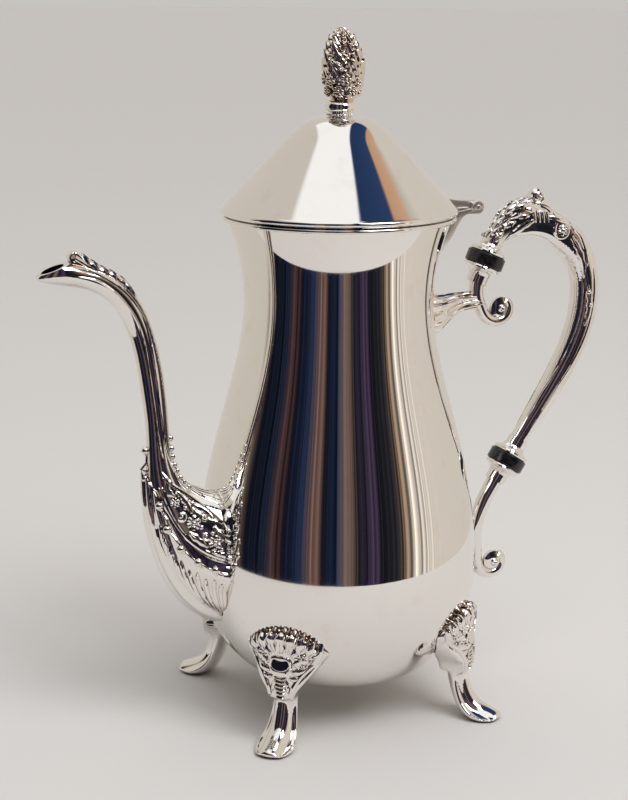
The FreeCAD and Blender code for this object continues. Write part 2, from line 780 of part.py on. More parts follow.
def make_foot(angle):
    half = foot_plate_half_width
    ankle = ankle_half_width
    shoulder = foot_plate_shoulder
    fan = []
    for hand in (-1, 1):
        fan.append(curve(V(0, hand * half, shoulder), V(0, hand * 0.8 * half, shoulder - 0.4 * ankle_height),
                         V(0, hand * ankle, ankle_height + ankle),
                         V(0, hand * ankle, ankle_height)).toShape())
    fan.append(Part.Arc(V(0, -half, shoulder), V(0, 0, foot_plate_top), V(0, half, shoulder)).toShape())
    fan.append(Part.makeLine(V(0, -ankle, ankle_height), V(0, ankle, ankle_height)))
    prism = closed_face(fan).extrude(V(far, 0, 0))
    face_radius = belly_radius + foot_face
    ring = Part.makeCylinder(face_radius, foot_plate_top)
    ring = ring.cut(Part.makeCylinder(face_radius - foot_web, foot_plate_top))
    plate = one_solid(prism.common(ring).cut(body_blank))
    knee = belly_radius - ankle_in
    leg_path = spread(7, (knee - 1.5, ankle_height + ankle), (knee + 1.0, ankle_height / 4),
                      (knee + 6.0, 0.3 * toe_half_height), (toe_reach, 0.5 * toe_half_height))
    thick = taper(ankle_half_depth, toe_half_height)
    leg = tube(leg_path, lambda share: thick(share) * (1 - 0.8 * share ** 6),
               lambda share: ankle + (toe_half_width - ankle) * math.sin(math.pi * share ** 2),
               first=V(0, 0, -1), last=V(1, 0, 0))
    table = Part.makeBox(far, far, far, V(-far / 4, -far / 2, -far))
    foot = one_solid(joined(plate, leg).cut([body_blank, table]))
    foot.rotate(V(0, 0, 0), UP, angle)
    return foot


def main():
    mouth_rim = make_mouth_rim()
    pieces = {
        "body": make_body(),
        "mouth_rim": mouth_rim,
        "spout": make_spout(),
        "lid_shell": make_lid_shell(),
        "lid_rim": make_lid_rim(),
        "lid_bezel": make_lid_bezel(),
        "finial_collar": make_finial_collar(),
        "finial": make_finial(),
        "finial_washer": make_finial_washer(),
        "finial_nut": make_finial_nut(),
        "hinge_lid_leaf": make_hinge_lid_leaf(),
        "hinge_body_bracket": make_hinge_body_bracket(mouth_rim),
        "hinge_pin": make_hinge_pin(),
        "handle_upper_socket": make_upper_socket(),
        "upper_insulator": upper_break.disc(),
        "upper_insulator_pins": upper_break.pins(),
        "handle": make_handle(),
        "lower_insulator": lower_break.disc(),
        "lower_insulator_pins": lower_break.pins(),
        "handle_lower_socket": make_lower_socket(),
    }
    for angle, name in zip(foot_angles, ("back_right", "back_left", "front_left", "front_right")):
        pieces["foot_" + name] = make_foot(angle)
    os.makedirs("parts", exist_ok=True)
    for name, shape in pieces.items():
        shape.exportStep("parts/" + name + ".step")
        print("%-22s solids %d valid %s" % (name, len(shape.Solids), shape.isValid()))


main()
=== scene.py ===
import bmesh
import bpy
import math
from mathutils import Matrix, Vector
from mathutils.bvhtree import BVHTree


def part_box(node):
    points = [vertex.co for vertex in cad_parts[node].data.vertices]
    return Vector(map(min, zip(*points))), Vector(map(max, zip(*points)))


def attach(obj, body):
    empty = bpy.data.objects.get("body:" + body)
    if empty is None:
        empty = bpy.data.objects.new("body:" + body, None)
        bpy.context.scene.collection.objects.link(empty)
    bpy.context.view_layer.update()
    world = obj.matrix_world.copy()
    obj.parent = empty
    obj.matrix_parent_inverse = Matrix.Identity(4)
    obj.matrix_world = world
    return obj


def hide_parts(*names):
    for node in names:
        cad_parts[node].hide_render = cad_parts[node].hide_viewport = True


bl_info = {
    "name": "Footed coffee pot",
    "version": (1, 0, 0),
    "blender": (4, 5, 0),
    "location": "View3D > Sidebar > Coffee pot",
    "description": "Dresses the solids of a silver-plated coffee pot with its polished skins and cast ornament",
    "category": "Object",
}

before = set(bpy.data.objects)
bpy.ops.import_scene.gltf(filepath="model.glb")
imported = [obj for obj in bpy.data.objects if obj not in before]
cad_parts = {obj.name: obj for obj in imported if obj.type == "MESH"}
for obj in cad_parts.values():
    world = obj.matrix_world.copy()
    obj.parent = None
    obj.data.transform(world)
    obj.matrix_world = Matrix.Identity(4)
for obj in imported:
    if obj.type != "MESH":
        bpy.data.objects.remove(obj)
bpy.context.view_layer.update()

MM = 0.001
AFT = Vector((1, 0, 0))
SIDE = Vector((0, 1, 0))
UP = Vector((0, 0, 1))
HANDS = (-1, 1)
FULL_TURN = 2 * math.pi
# Points nearer to each other than this are one point
WELD = 0.002 * MM
# From this far off, any face of the pot is looked at from outside
CLEAR = 80 * MM
# Radius, in millimetres, of the hole that the finial's stud goes through
STUD_HOLE = 1.83

# The black discs between the handle and its sockets: centre, and lean of the axis in degrees
UPPER_BREAK, UPPER_LEAN = Vector((64.65, 0, 177.4)) * MM, 67.0
LOWER_BREAK, LOWER_LEAN = Vector((77.3, 0, 92.25)) * MM, 57.1


# Small tools

def linear(hex_colour):
    """sRGB hex to the linear red, green, blue and alpha that a shader reads."""
    parts = [int(hex_colour[place:place + 2], 16) / 255 for place in (1, 3, 5)]
    return [c / 12.92 if c <= 0.04045 else ((c + 0.055) / 1.055) ** 2.4 for c in parts] + [1.0]


def at(x, z, y=0.0):
    """A place in the pot's frame, from millimetres."""
    return Vector((x, y, z)) * MM


def out_up(radius, height):
    """A place of an outline, out from the pot's axis and up from the table."""
    return Vector((radius, 0, height))


def outward(turn):
    """Level direction at a turn about the pot's axis."""
    return Vector((math.cos(turn), math.sin(turn), 0))


def clamped(value):
    return max(0.0, min(1.0, value))


def value_at(line, place, eased=False):
    """Value of a line of (place, value) pairs at a place, or none beside its ends."""
    for (start, first), (end, second) in zip(line, line[1:]):
        if start <= place <= end:
            share = (place - start) / (end - start)
            if eased:
                share *= share * (3 - 2 * share)
            return first + (second - first) * share


def bezier(poles, share):
    """Point at a share of the way along a curve of any degree."""
    while len(poles) > 1:
        poles = [a.lerp(b, share) for a, b in zip(poles, poles[1:])]
    return poles[0]


def bent(poles, count):
    """Points at even steps along a curve."""
    return [bezier(poles, step / (count - 1)) for step in range(count)]


def through(points, steps=6):
    """Smooth line through points."""
    last = len(points) - 1
    line = []
    for i in range(last):
        before, start, end, after = points[max(i - 1, 0)], points[i], points[i + 1], points[min(i + 2, last)]
        poles = [start, start + (end - before) / 6, end - (after - start) / 6, end]
        line += [bezier(poles, step / steps) for step in range(steps)]
    return line + [points[last]]


def spun(points, steps=160, closed=False):
    """A skin spun about the pot's axis from an outline in the XZ plane."""
    mesh = bmesh.new()
    verts = [mesh.verts.new(point) for point in points]
    ends = verts[1:] + verts[:1] if closed else verts[1:]
    edges = [mesh.edges.new(pair) for pair in zip(verts, ends)]
    bmesh.ops.spin(mesh, geom=verts + edges, axis=UP, cent=(0, 0, 0), angle=FULL_TURN, steps=steps,
                   use_merge=True)
    bmesh.ops.remove_doubles(mesh, verts=mesh.verts, dist=WELD)
    bmesh.ops.recalc_face_normals(mesh, faces=mesh.faces)
    return mesh


def linked(context, name, mesh):
    """Turns a mesh into an object of the scene."""
    data = bpy.data.meshes.new(name)
    mesh.to_mesh(data)
    mesh.free()
    made = bpy.data.objects.new(name, data)
    context.scene.collection.objects.link(made)
    return made


def modified(context, blank):
    """The mesh of an object after its modifiers; the object itself goes."""
    context.view_layer.update()
    mesh = bmesh.new()
    mesh.from_mesh(blank.evaluated_get(context.evaluated_depsgraph_get()).data)
    bpy.data.objects.remove(blank)
    return mesh


def append(mesh, part):
    """Joins a finished part into a mesh."""
    data = bpy.data.meshes.new("part")
    part.to_mesh(data)
    part.free()
    mesh.from_mesh(data)
    bpy.data.meshes.remove(data)


def swept(mesh, stations, segments=10):
    """A closed skin over ovals; a station is centre, two unit directions and two half sizes."""
    part = bmesh.new()
    ring = bmesh.ops.create_circle(part, cap_ends=False, radius=1.0, segments=segments)["verts"]
    edges = list(part.edges)
    placed = Matrix.Identity(4)
    least = 0.01 * MM
    for step, (centre, across, side, half_across, half_side) in enumerate(stations):
        if step:
            grown = bmesh.ops.extrude_edge_only(part, edges=edges)["geom"]
            ring = [item for item in grown if isinstance(item, bmesh.types.BMVert)]
            held = set(ring)
            edges = [item for item in grown if isinstance(item, bmesh.types.BMEdge)
                     and item.verts[0] in held and item.verts[1] in held]
        columns = (across * max(half_across, least), side * max(half_side, least), across.cross(side))
        target = Matrix(columns).transposed().to_4x4()
        target.translation = centre
        bmesh.ops.transform(part, matrix=target @ placed.inverted(), verts=ring)
        placed = target
    bmesh.ops.holes_fill(part, edges=part.edges, sides=segments)
    bmesh.ops.recalc_face_normals(part, faces=part.faces)
    append(mesh, part)


def unbroken(path, jump=5.0):
    """The longest stretch of a laid path that stays on one surface, without jumps to another."""
    least = 0.02 * MM
    runs = [[]]
    for point, out in path:
        if runs[-1] and (point - runs[-1][-1][0]).length > jump * MM:
            runs.append([])
        if not runs[-1] or (point - runs[-1][-1][0]).length > least:
            runs[-1].append((point, out))
    return max(runs, key=len)


def rib(mesh, path, width, height, segments=8):
    """A raised rib; path is a list of points on a surface, each with the way out of it."""
    path = unbroken(path)
    last = len(path) - 1
    if last < 3:
        return
    stations = []
    for step, (point, out) in enumerate(path):
        ahead = path[min(step + 1, last)][0] - path[max(step - 1, 0)][0]
        side = out.cross(ahead).normalized()
        out = ahead.cross(side).normalized()
        share = step / last
        stations.append((point, out, side, height(share) * MM, width(share) * MM))
    swept(mesh, stations, segments)


def even(size, end=0.25):
    """Width of a rib that keeps its size and closes at both ends."""
    return lambda share: size * max(end, min(1.0, 6 * share + end, 6 * (1 - share) + end))


def fading(size, end=0.2):
    """Width of a rib that starts full and runs out to a point."""
    return lambda share: size * (end + (1 - end) * (1 - share) ** 0.8) * min(1.0, 8 * share + 0.35)


def leaf(mesh, path, half_width, height, lobes=4):
    """A notched leaf with a raised middle vein."""
    def edge(share):
        full = math.sin(math.pi * min(1.0, 0.08 + 0.92 * share)) ** 0.6
        return half_width * (0.12 + 0.88 * full) * (1 + 0.16 * math.cos(FULL_TURN * lobes * share))
    rib(mesh, path, edge, lambda share: height * (0.35 + 0.65 * math.sin(math.pi * share) ** 0.5), 10)
    raised = [(point + out * height * 0.75 * MM, out) for point, out in path]
    rib(mesh, raised, fading(0.18 * half_width), fading(0.4 * height), 6)


def bead(mesh, point, radius):
    """A ball of a radius in millimetres."""
    bmesh.ops.create_icosphere(mesh, subdivisions=2, radius=radius * MM, matrix=Matrix.Translation(point))


class Skin:
    """The surface of a solid, for laying ornament on it. Each laid point comes with the way out."""

    def __init__(self, mesh):
        self.tree = BVHTree.FromBMesh(mesh)

    def hit(self, start, aim):
        point, out, _, _ = self.tree.ray_cast(start, aim)
        if point is None:
            point, out, _, _ = self.tree.find_nearest(start + aim * CLEAR)
        if out.dot(aim) > 0:
            out = -out
        return point, out

    def side(self, points, hand):
        """Points of the side view, laid on the surface from that side."""
        return [self.hit(Vector((p.x, hand * CLEAR, p.z)), SIDE * -hand) for p in points]

    def spot(self, x, z, hand):
        """One place of the side view, in millimetres, laid on the surface."""
        return self.side([at(x, z)], hand)[0]

    def trace(self, places, hand, steps=6):
        """A smooth line through places of the side view, in millimetres, laid on the surface."""
        return self.side(through([at(*place) for place in places], steps), hand)

    def below(self, points, height):
        """Points laid on the surface from a height above it, in millimetres."""
        return [self.hit(Vector((p.x, p.y, height * MM)), -UP) for p in points]


def scroll(skin, x, z, radius, turns, start, hand, mesh, size=0.6):
    """A flat curl laid on a side, ending in a bead."""
    points = []
    count = int(18 * abs(turns)) + 4
    for step in range(count):
        share = step / (count - 1)
        turn = math.radians(start) + FULL_TURN * turns * share
        reach = radius * (1 - 0.78 * share)
        points.append(at(x + reach * math.cos(turn), z + reach * math.sin(turn)))
    rib(mesh, skin.side(points, hand), even(size, 0.6), even(size, 0.6))
    point, out = skin.spot(x, z, hand)
    bead(mesh, point + out * 0.3 * MM, 0.32 * radius)


def rosette(skin, x, z, radius, hand, mesh):
    """A flower laid on a side: pointed petals round an eye."""
    petals = 6
    for petal in range(petals):
        turn = FULL_TURN * (petal + 0.3) / petals
        points = [at(x + reach * radius * math.cos(turn), z + reach * radius * math.sin(turn))
                  for reach in (0.2, 0.45, 0.7, 0.9, 1.05, 1.2)]
        leaf(mesh, skin.side(points, hand), 0.5 * radius, 0.42 * radius, 1)
    point, out = skin.spot(x, z, hand)
    bead(mesh, point + out * 0.3 * MM, 0.42 * radius)


def collar(mesh, centre, lean, hand):
    """The rolled ring of a socket or of the handle, beside the face of a black disc."""
    axis = Vector((math.cos(math.radians(lean)), 0, math.sin(math.radians(lean))))
    across = SIDE.cross(axis)
    half_disc = 2.5
    stations = [(centre + axis * hand * (half_disc + out) * MM, across, SIDE, radius * MM, radius * MM)
                for out, radius in ((0.1, 6.9), (0.35, 7.3), (0.9, 7.5), (1.5, 7.3), (1.9, 6.7), (2.2, 5.9),
                                    (2.6, 5.2), (3.2, 4.7), (4.2, 4.35))]
    swept(mesh, stations, 64)


def cad_copy(node_name):
    """A mesh of a node's solid, as the frame holds it."""
    mesh = bmesh.new()
    mesh.from_mesh(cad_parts[node_name].data)
    bmesh.ops.remove_doubles(mesh, verts=mesh.verts, dist=WELD)
    return mesh


def add_piece(context, name, mesh, material, body, nodes, crease=32):
    """Makes the object: smooth faces with sharp corners, riding on its body in place of its nodes."""
    if not mesh.faces:
        raise RuntimeError("%s has no faces" % name)
    mesh.normal_update()
    limit = math.radians(crease)
    for edge in mesh.edges:
        edge.smooth = edge.calc_face_angle(0.0) < limit
    for face in mesh.faces:
        face.smooth = True
    piece = linked(context, name, mesh)
    piece.data.materials.append(material)
    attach(piece, body)
    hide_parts(*nodes)


# Finishes

def node(tree, kind, inputs=None, **settings):
    """Adds one node; an input is a plain value, another node's output or a node, for its first output."""
    made = tree.nodes.new(kind)
    for name, value in settings.items():
        setattr(made, name, value)
    for name, value in (inputs or {}).items():
        if isinstance(value, bpy.types.Node):
            value = value.outputs[0]
        if isinstance(value, bpy.types.NodeSocket):
            tree.links.new(value, made.inputs[name])
        else:
            made.inputs[name].default_value = value
    return made


def stops(ramp, *pairs):
    """Gives a colour ramp its places and colours."""
    elements = ramp.color_ramp.elements
    while len(elements) < len(pairs):
        elements.new(0.5)
    for element, (place, colour) in zip(elements, pairs):
        element.position = place
        element.color = linear(colour)
    return ramp


def new_tree(name):
    material = bpy.data.materials.new(name)
    material.use_nodes = True
    material.node_tree.nodes.clear()
    return material, material.node_tree


def silver_finish(finishes, name, gloss, hollows=None, wear=0.0):
    """Electroplated silver over brass: faint smudges, fine polishing marks and small warm tarnish spots.
    Castings get painted shade in their hollows, laid by ambient occlusion: brown and partly real tarnish on
    most castings, brass-toned on the finial, whose wear also lays a little brass all over, where the plate is
    worn."""
    material, tree = new_tree(name)
    place = node(tree, "ShaderNodeTexCoord").outputs["Object"]
    # smudges about 28 mm across, spots about 5 mm wide on a 9 mm pattern, polishing marks 1.5 mm apart
    smudge = node(tree, "ShaderNodeTexNoise", {"Vector": place, "Scale": 1 / (28 * MM), "Detail": 3.0})
    spot = node(tree, "ShaderNodeTexNoise", {"Vector": place, "Scale": 1 / (9 * MM), "Detail": 4.0})
    drawn = node(tree, "ShaderNodeMapping", {"Vector": place, "Scale": (1.0, 1.0, 0.06)})
    mark = node(tree, "ShaderNodeTexNoise", {"Vector": drawn, "Scale": 1 / (1.5 * MM), "Detail": 2.0})
    tint = node(tree, "ShaderNodeMapRange", {"Value": spot, "From Min": 0.56, "From Max": 0.78,
                "To Max": finishes.tarnish})
    colour = node(tree, "ShaderNodeMix", {0: tint, 6: finishes.silver, 7: finishes.spot}, data_type="RGBA")
    skin = colour.outputs[2]
    if hollows:
        # painted shade: the hollows' colour goes where ambient occlusion finds the surface closed in, and wear
        # lays a little of it on the open faces
        hollow_shade = node(tree, "ShaderNodeAmbientOcclusion", {"Distance": 2.2 * MM}, samples=8)
        worn_and_shaded = node(tree, "ShaderNodeMapRange", {"Value": hollow_shade.outputs["AO"], "From Min": 0.22,
                    "From Max": 0.76, "To Min": 0.85, "To Max": wear})
        skin = node(tree, "ShaderNodeMix", {0: worn_and_shaded, 6: skin, 7: hollows}, data_type="RGBA").outputs[2]
    rough = node(tree, "ShaderNodeMapRange", {"Value": smudge, "From Min": 0.35, "From Max": 0.75,
                 "To Min": gloss, "To Max": gloss + 0.04})
    streak = node(tree, "ShaderNodeMath", {0: mark, 1: 0.015, 2: rough}, operation="MULTIPLY_ADD")
    wave = node(tree, "ShaderNodeBump", {"Height": smudge, "Strength": 0.03, "Distance": 0.5 * MM})
    shader = node(tree, "ShaderNodeBsdfPrincipled", {"Base Color": skin, "Metallic": 1.0, "Roughness": streak,
                  "Normal": wave})
    node(tree, "ShaderNodeOutputMaterial", {"Surface": shader})
    return material


def insulator_finish():
    """Phenolic moulding, turned and buffed: black, satin, with fine lathe lines and a little dust."""
    material, tree = new_tree("black_phenolic_turned")
    place = node(tree, "ShaderNodeTexCoord").outputs["Object"]
    dust = node(tree, "ShaderNodeTexNoise", {"Vector": place, "Scale": 1 / (2.5 * MM), "Detail": 5.0})
    colour = stops(node(tree, "ShaderNodeValToRGB", {"Fac": dust}), (0.45, "#0B0C0D"), (0.85, "#2A2B2C"))
    rough = node(tree, "ShaderNodeMapRange", {"Value": dust, "To Min": 0.14, "To Max": 0.4})
    lathe = node(tree, "ShaderNodeTexNoise", {"Vector": place, "Scale": 1 / (0.8 * MM), "Detail": 1.0})
    bump = node(tree, "ShaderNodeBump", {"Height": lathe, "Strength": 0.08, "Distance": 0.1 * MM})
    shader = node(tree, "ShaderNodeBsdfPrincipled", {"Base Color": colour, "Roughness": rough, "IOR": 1.54,
                  "Normal": bump})
    node(tree, "ShaderNodeOutputMaterial", {"Surface": shader})
    return material


def finish(context, name):
    """The named finish, made the first time that a piece asks for it."""
    found = bpy.data.materials.get(name)
    if found:
        return found
    if name == "black_phenolic_turned":
        return insulator_finish()
    finishes = context.scene.coffee_pot_finishes
    # castings get painted shade in their hollows: brown and partly tarnish on the chased plate, brass-toned on
    # the finial
    hollows = {"silver_plate_chased": finishes.hollow_shade, "silver_plate_worn_and_shaded": finishes.brass}.get(name)
    # the hinge is only brushed, the rest is buffed
    gloss = finishes.gloss + 0.3 if name == "silver_plate_brushed" else finishes.gloss
    # the finial is rubbed most, so a little brass shows through all over it
    wear = 0.25 if name == "silver_plate_worn_and_shaded" else 0.0
    return silver_finish(finishes, name, gloss, hollows, wear)


# Sizes and colours

def length(label, words, value):
    return bpy.props.FloatProperty(name=label, description=words, default=value * MM, unit="LENGTH")


def tone(label, words, hex_colour):
    return bpy.props.FloatVectorProperty(name=label, description=words, size=4, subtype="COLOR",
                                         default=linear(hex_colour))


def amount(label, words, value):
    return bpy.props.FloatProperty(name=label, description=words, default=value, subtype="FACTOR")


class CoffeePotSizes(bpy.types.PropertyGroup):
    base_radius: length("Base radius", "Radius of the flat underside", 22.0)
    base_height: length("Base height", "Height of the underside above the table", 13.0)
    belly_radius: length("Belly radius", "Radius at the widest circle", 56.0)
    belly_height: length("Belly height", "Height of the widest circle", 58.0)
    waist_radius: length("Waist radius", "Radius at the narrowest circle", 37.3)
    waist_height: length("Waist height", "Height of the narrowest circle", 165.0)
    mouth_radius: length("Mouth radius", "Radius at the mouth", 44.4)
    mouth_height: length("Mouth height", "Height of the mouth", 198.6)
    wall: length("Wall", "Thickness of the raised sheet", 1.2)
    lid_radius: length("Lid radius", "Radius of the lid's moulded rim", 46.2)
    lid_seat: length("Lid seat", "Height at which the lid rests", 199.0)
    lid_rim_top: length("Lid rim top", "Height where the cone leaves the rim", 201.5)
    lid_top: length("Lid top", "Height of the lid's crown", 236.2)
    bud_radius: length("Bud radius", "Radius of the finial's bud", 8.3)
    bud_height: length("Bud height", "Height of the finial's bud", 29.0)


class CoffeePotFinishes(bpy.types.PropertyGroup):
    silver: tone("Silver", "Colour of the bright plate", "#F3F0EC")
    spot: tone("Tarnish spot", "Colour of the thin tarnish spots", "#DCC4B4")
    # colours of the painted shade in the castings' hollows: brown and partly real tarnish, and brass, which the
    # finial's wear also shows all over
    hollow_shade: tone("Tarnished hollow", "Colour left in the hollows", "#80643E")
    brass: tone("Worn hollow", "Brass that shows where the plate is thin", "#B58E4E")
    tarnish: amount("Tarnish", "Strength of the spots", 0.2)
    gloss: amount("Roughness", "Roughness of the clean plate", 0.015)
    floor: tone("Floor", "Colour of the floor", "#DEDCDA")


# Outlines that more than one piece reads

def body_line(sizes, inset):
    """Outer wall of the body, or a wall inset from it, from the base to the mouth."""
    base = out_up(sizes.base_radius, sizes.base_height + inset)
    belly = out_up(sizes.belly_radius - inset, sizes.belly_height)
    waist = out_up(sizes.waist_radius - inset, sizes.waist_height)
    mouth = out_up(sizes.mouth_radius - inset, sizes.mouth_height)
    low = bent([base, base + at(18, 0), belly - at(0, 24), belly], 26)
    flank = bent([belly, belly + at(0, 45), waist - at(0, 30), waist], 44)
    neck = bent([waist, waist + at(0, 14), mouth - at(3.4, 8.1), mouth], 24)
    return low + flank[1:] + neck[1:]


def lid_line(sizes, inset):
    """Cone and crown of the lid, or the wall inside them, from the rim to the crown."""
    edge = out_up(sizes.lid_radius, sizes.lid_rim_top) - at(0.8, 0)
    shoulder = out_up(0, sizes.lid_rim_top) + at(20.5, 26.5)
    climb = (shoulder - edge).normalized()
    out = out_up(climb.z, -climb.x)
    edge = edge - out_up(inset / out.x, 0)
    shoulder = shoulder - out * inset
    top = sizes.lid_top - inset
    crown = [shoulder, shoulder + climb * 6.6 * MM, out_up(12 * MM, top), out_up(6 * MM, top)]
    return bent([edge, shoulder], 14) + bent(crown, 16)[1:]


class POT_OT_body(bpy.types.Operator):
    """Spins the body with its strainer holes, and the wire round its mouth"""
    bl_idname = "coffee_pot.body"
    bl_label = "Body"

    def execute(self, context):
        sizes = context.scene.coffee_pot_sizes
        outside = body_line(sizes, 0.0)
        inside = body_line(sizes, sizes.wall)
        low = [out_up(0, outside[0].z), outside[0] * 0.5 + out_up(0, outside[0].z) * 0.5]
        floor = [out_up(0, inside[0].z)]
        mesh = spun(low + outside + inside[::-1] + floor, 192)
        blank = linked(context, "body_blank", mesh)
        drills = self.drills(context)
        cut = blank.modifiers.new("strainer", "BOOLEAN")
        cut.object = drills
        cut.operation = "DIFFERENCE"
        cut.solver = "EXACT"
        drilled = modified(context, blank)
        bpy.data.objects.remove(drills)
        plate = finish(context, "silver_plate_buffed")
        add_piece(context, "body_skin", drilled, plate, "pot", ["body"])
        self.mouth_wire(context, sizes, plate)
        return {"FINISHED"}

    def drills(self, context):
        """Ten drills in rows of three, four and three, behind the spout."""
        mesh = bmesh.new()
        pitch, middle, wall = 7.0, 68.0, -53.0
        radius = 1.9 * MM
        for row in (-1, 0, 1):
            in_row = 4 - abs(row)
            for place in range(in_row):
                y = (place - (in_row - 1) / 2) * pitch
                z = middle + row * pitch * math.sqrt(3) / 2
                level = Matrix.Translation(at(wall, z, y)) @ Matrix.Rotation(math.pi / 2, 4, "Y")
                bmesh.ops.create_cone(mesh, cap_ends=True, segments=24, radius1=radius, radius2=radius,
                                      depth=20 * MM, matrix=level)
        return linked(context, "drills", mesh)

    def mouth_wire(self, context, sizes, plate):
        wire = 0.9
        centre = out_up(sizes.mouth_radius, sizes.mouth_height) + at(wire / 2, -wire)
        ring = [centre + at(wire * math.cos(turn), wire * math.sin(turn))
                for turn in [FULL_TURN * step / 16 for step in range(16)]]
        add_piece(context, "mouth_wire", spun(ring, 160, True), plate, "pot", ["mouth_rim"])


class POT_OT_lid(bpy.types.Operator):
    """Spins the lid's cone, its moulded rim and the bezel that drops into the mouth"""
    bl_idname = "coffee_pot.lid"
    bl_label = "Lid"

    def execute(self, context):
        sizes = context.scene.coffee_pot_sizes
        plate = finish(context, "silver_plate_buffed")
        outside = lid_line(sizes, 0.0)
        inside = lid_line(sizes, sizes.wall)
        hole = STUD_HOLE * MM
        neck = [out_up(hole, outside[-1].z), out_up(hole, inside[-1].z)]
        add_piece(context, "lid_cone", spun(outside + neck + inside[::-1], 192, True), plate, "lid",
                  ["lid_shell"])
        low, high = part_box("lid_bezel")
        bezel = high.x
        seat = sizes.lid_seat
        lip = inside[0].x
        flange = seat + 1.2 * MM
        start = out_up(sizes.lid_radius - 1.0 * MM, seat)
        end = out_up(sizes.lid_radius - 0.8 * MM, sizes.lid_rim_top)
        bulge = Vector((sizes.lid_radius + 0.9 * MM, 0, (seat + sizes.lid_rim_top) / 2))
        moulding = bent([start, bulge, end], 12)
        flat = [out_up(lip, sizes.lid_rim_top), out_up(lip, flange), out_up(bezel, flange),
                out_up(bezel, seat)]
        add_piece(context, "lid_moulding", spun(moulding + flat, 192, True), plate, "lid", ["lid_rim"])
        thin = bezel - 1.1 * MM
        ring = [out_up(bezel, high.z), out_up(thin, high.z), out_up(thin, low.z),
                out_up(bezel - 0.3 * MM, low.z), out_up(bezel, low.z + 0.4 * MM)]
        add_piece(context, "lid_bezel_ring", spun(ring, 160, True), plate, "lid", ["lid_bezel"])
        return {"FINISHED"}


class POT_OT_finial(bpy.types.Operator):
    """Carves the leaf bud on its turned collar, with the washer and nut that hold it"""
    bl_idname = "coffee_pot.finial"
    bl_label = "Finial"

    def execute(self, context):
        sizes = context.scene.coffee_pot_sizes
        plate = finish(context, "silver_plate_buffed")
        low = sizes.lid_top / MM
        ring = bent([at(4.3, low), at(5.4, low + 0.8), at(4.2, low + 1.7)], 8)
        band = bent([at(4.2, low + 1.7), at(6.9, low + 2.4), at(6.6, low + 5.6), at(3.9, low + 6.4)], 18)
        mesh = spun([at(STUD_HOLE, low)] + ring + band[1:] + [at(STUD_HOLE, low + 6.4)], 96, True)
        beads = 26
        for step in range(beads):
            bead(mesh, at(0, low + 0.8) + outward(FULL_TURN * step / beads) * 4.9 * MM, 0.52)
        add_piece(context, "finial_turned_collar", mesh, plate, "lid", ["finial_collar"])
        # the bud's finish paints brass-toned shade into its hollows, with a little brass of wear all over
        worn_and_shaded = finish(context, "silver_plate_worn_and_shaded")
        add_piece(context, "finial_bud", self.bud(sizes), worn_and_shaded, "lid", ["finial"], 60)
        for name in ("finial_washer", "finial_nut"):
            add_piece(context, name + "_plated", cad_copy(name), plate, "lid", [name])
        return {"FINISHED"}

    def bow(self, share):
        """How far the bud leans out at a share of its height."""
        return 1.5 * MM * math.sin(math.pi * math.sqrt(clamped(share)))

    def bud(self, sizes):
        radius = sizes.bud_radius
        height = sizes.bud_height
        low = sizes.lid_top + 4.9 * MM
        side = [out_up(radius * out, height * up) for out, up in
                ((0.4, 0), (1.4, 0.08), (1.0, 0.6), (0.68, 0.92), (0.05, 1))]
        mesh = bmesh.new()
        stations = []
        count = 130
        for step in range(count):
            share = step / (count - 1)
            reach = bezier(side, share)
            centre = Vector((self.bow(share), 0, low + reach.z))
            stations.append((centre, AFT, SIDE, reach.x - 0.5 * MM, reach.x - 0.5 * MM))
        swept(mesh, stations, 168)
        for vert in mesh.verts:
            share = (vert.co.z - low) / height
            out = Vector((vert.co.x - self.bow(share), vert.co.y, 0))
            if out.length < 0.05 * MM or share > 0.985:
                continue
            lift = self.leaf_relief(math.atan2(out.y, out.x), share)
            vert.co += out.normalized() * lift * MM * min(1.0, out.length / (3 * MM))
        blossoms = 7
        for place in range(blossoms):
            upper = low + height * (0.29 + 0.03 * (place % 2))
            self.blossom(mesh, 0.88 * radius, upper, FULL_TURN * place / blossoms)
            self.blossom(mesh, 0.78 * radius, low + height * 0.17, FULL_TURN * (place + 0.5) / blossoms)
        stud = [(at(0, z), AFT, SIDE, 1.75 * MM, 1.75 * MM) for z in (230.0, 236.0, 246.0)]
        swept(mesh, stud, 24)
        return mesh

    def blossom(self, mesh, radius, height, turn):
        """Five petals and an eye, set on the bud's shoulder."""
        out = outward(turn)
        side = UP.cross(out)
        centre = out_up(0.9 * MM, height) + out * (radius * 0.97)
        bead(mesh, centre + out * 0.5 * MM, 0.8)
        for petal in range(5):
            angle = FULL_TURN * petal / 5
            bead(mesh, centre + (side * math.cos(angle) + UP * math.sin(angle)) * 1.5 * MM, 0.95)

    def leaf_relief(self, turn, share):
        """Height of the swirling leaves at a place on the bud; small buds fill the part under them."""
        best = -0.9
        if share < 0.4:
            best += 0.9 * (0.5 + 0.5 * math.cos(11 * turn)) * (0.5 + 0.5 * math.cos(FULL_TURN * share / 0.12))
        tiers = ((0.26, 0.34, 6, 0.7, 1.9), (0.40, 0.32, 6, 0.65, 2.0), (0.54, 0.28, 7, 0.6, 2.0),
                 (0.66, 0.25, 6, 0.5, 2.0), (0.78, 0.21, 5, 0.4, 1.8))
        for start, reach, leaves, swirl, rise in tiers:
            up = (share - start) / reach
            if not 0.0 <= up <= 1.0:
                continue
            spot = (turn / FULL_TURN * leaves + swirl * up - 2.3 * start) % 1.0 - 0.5
            half = 0.6 * math.sin(math.pi * (0.25 + 0.75 * up)) ** 0.8
            half *= 1 + 0.16 * math.cos(FULL_TURN * 4 * up)
            across = spot / max(half, 0.02)
            if abs(across) > 1.0:
                continue
            flute = 0.36 * math.cos(3.0 * math.pi * across)
            best = max(best, -0.6 + rise * up * (1 - 0.35 * across * across) + flute)
        return best


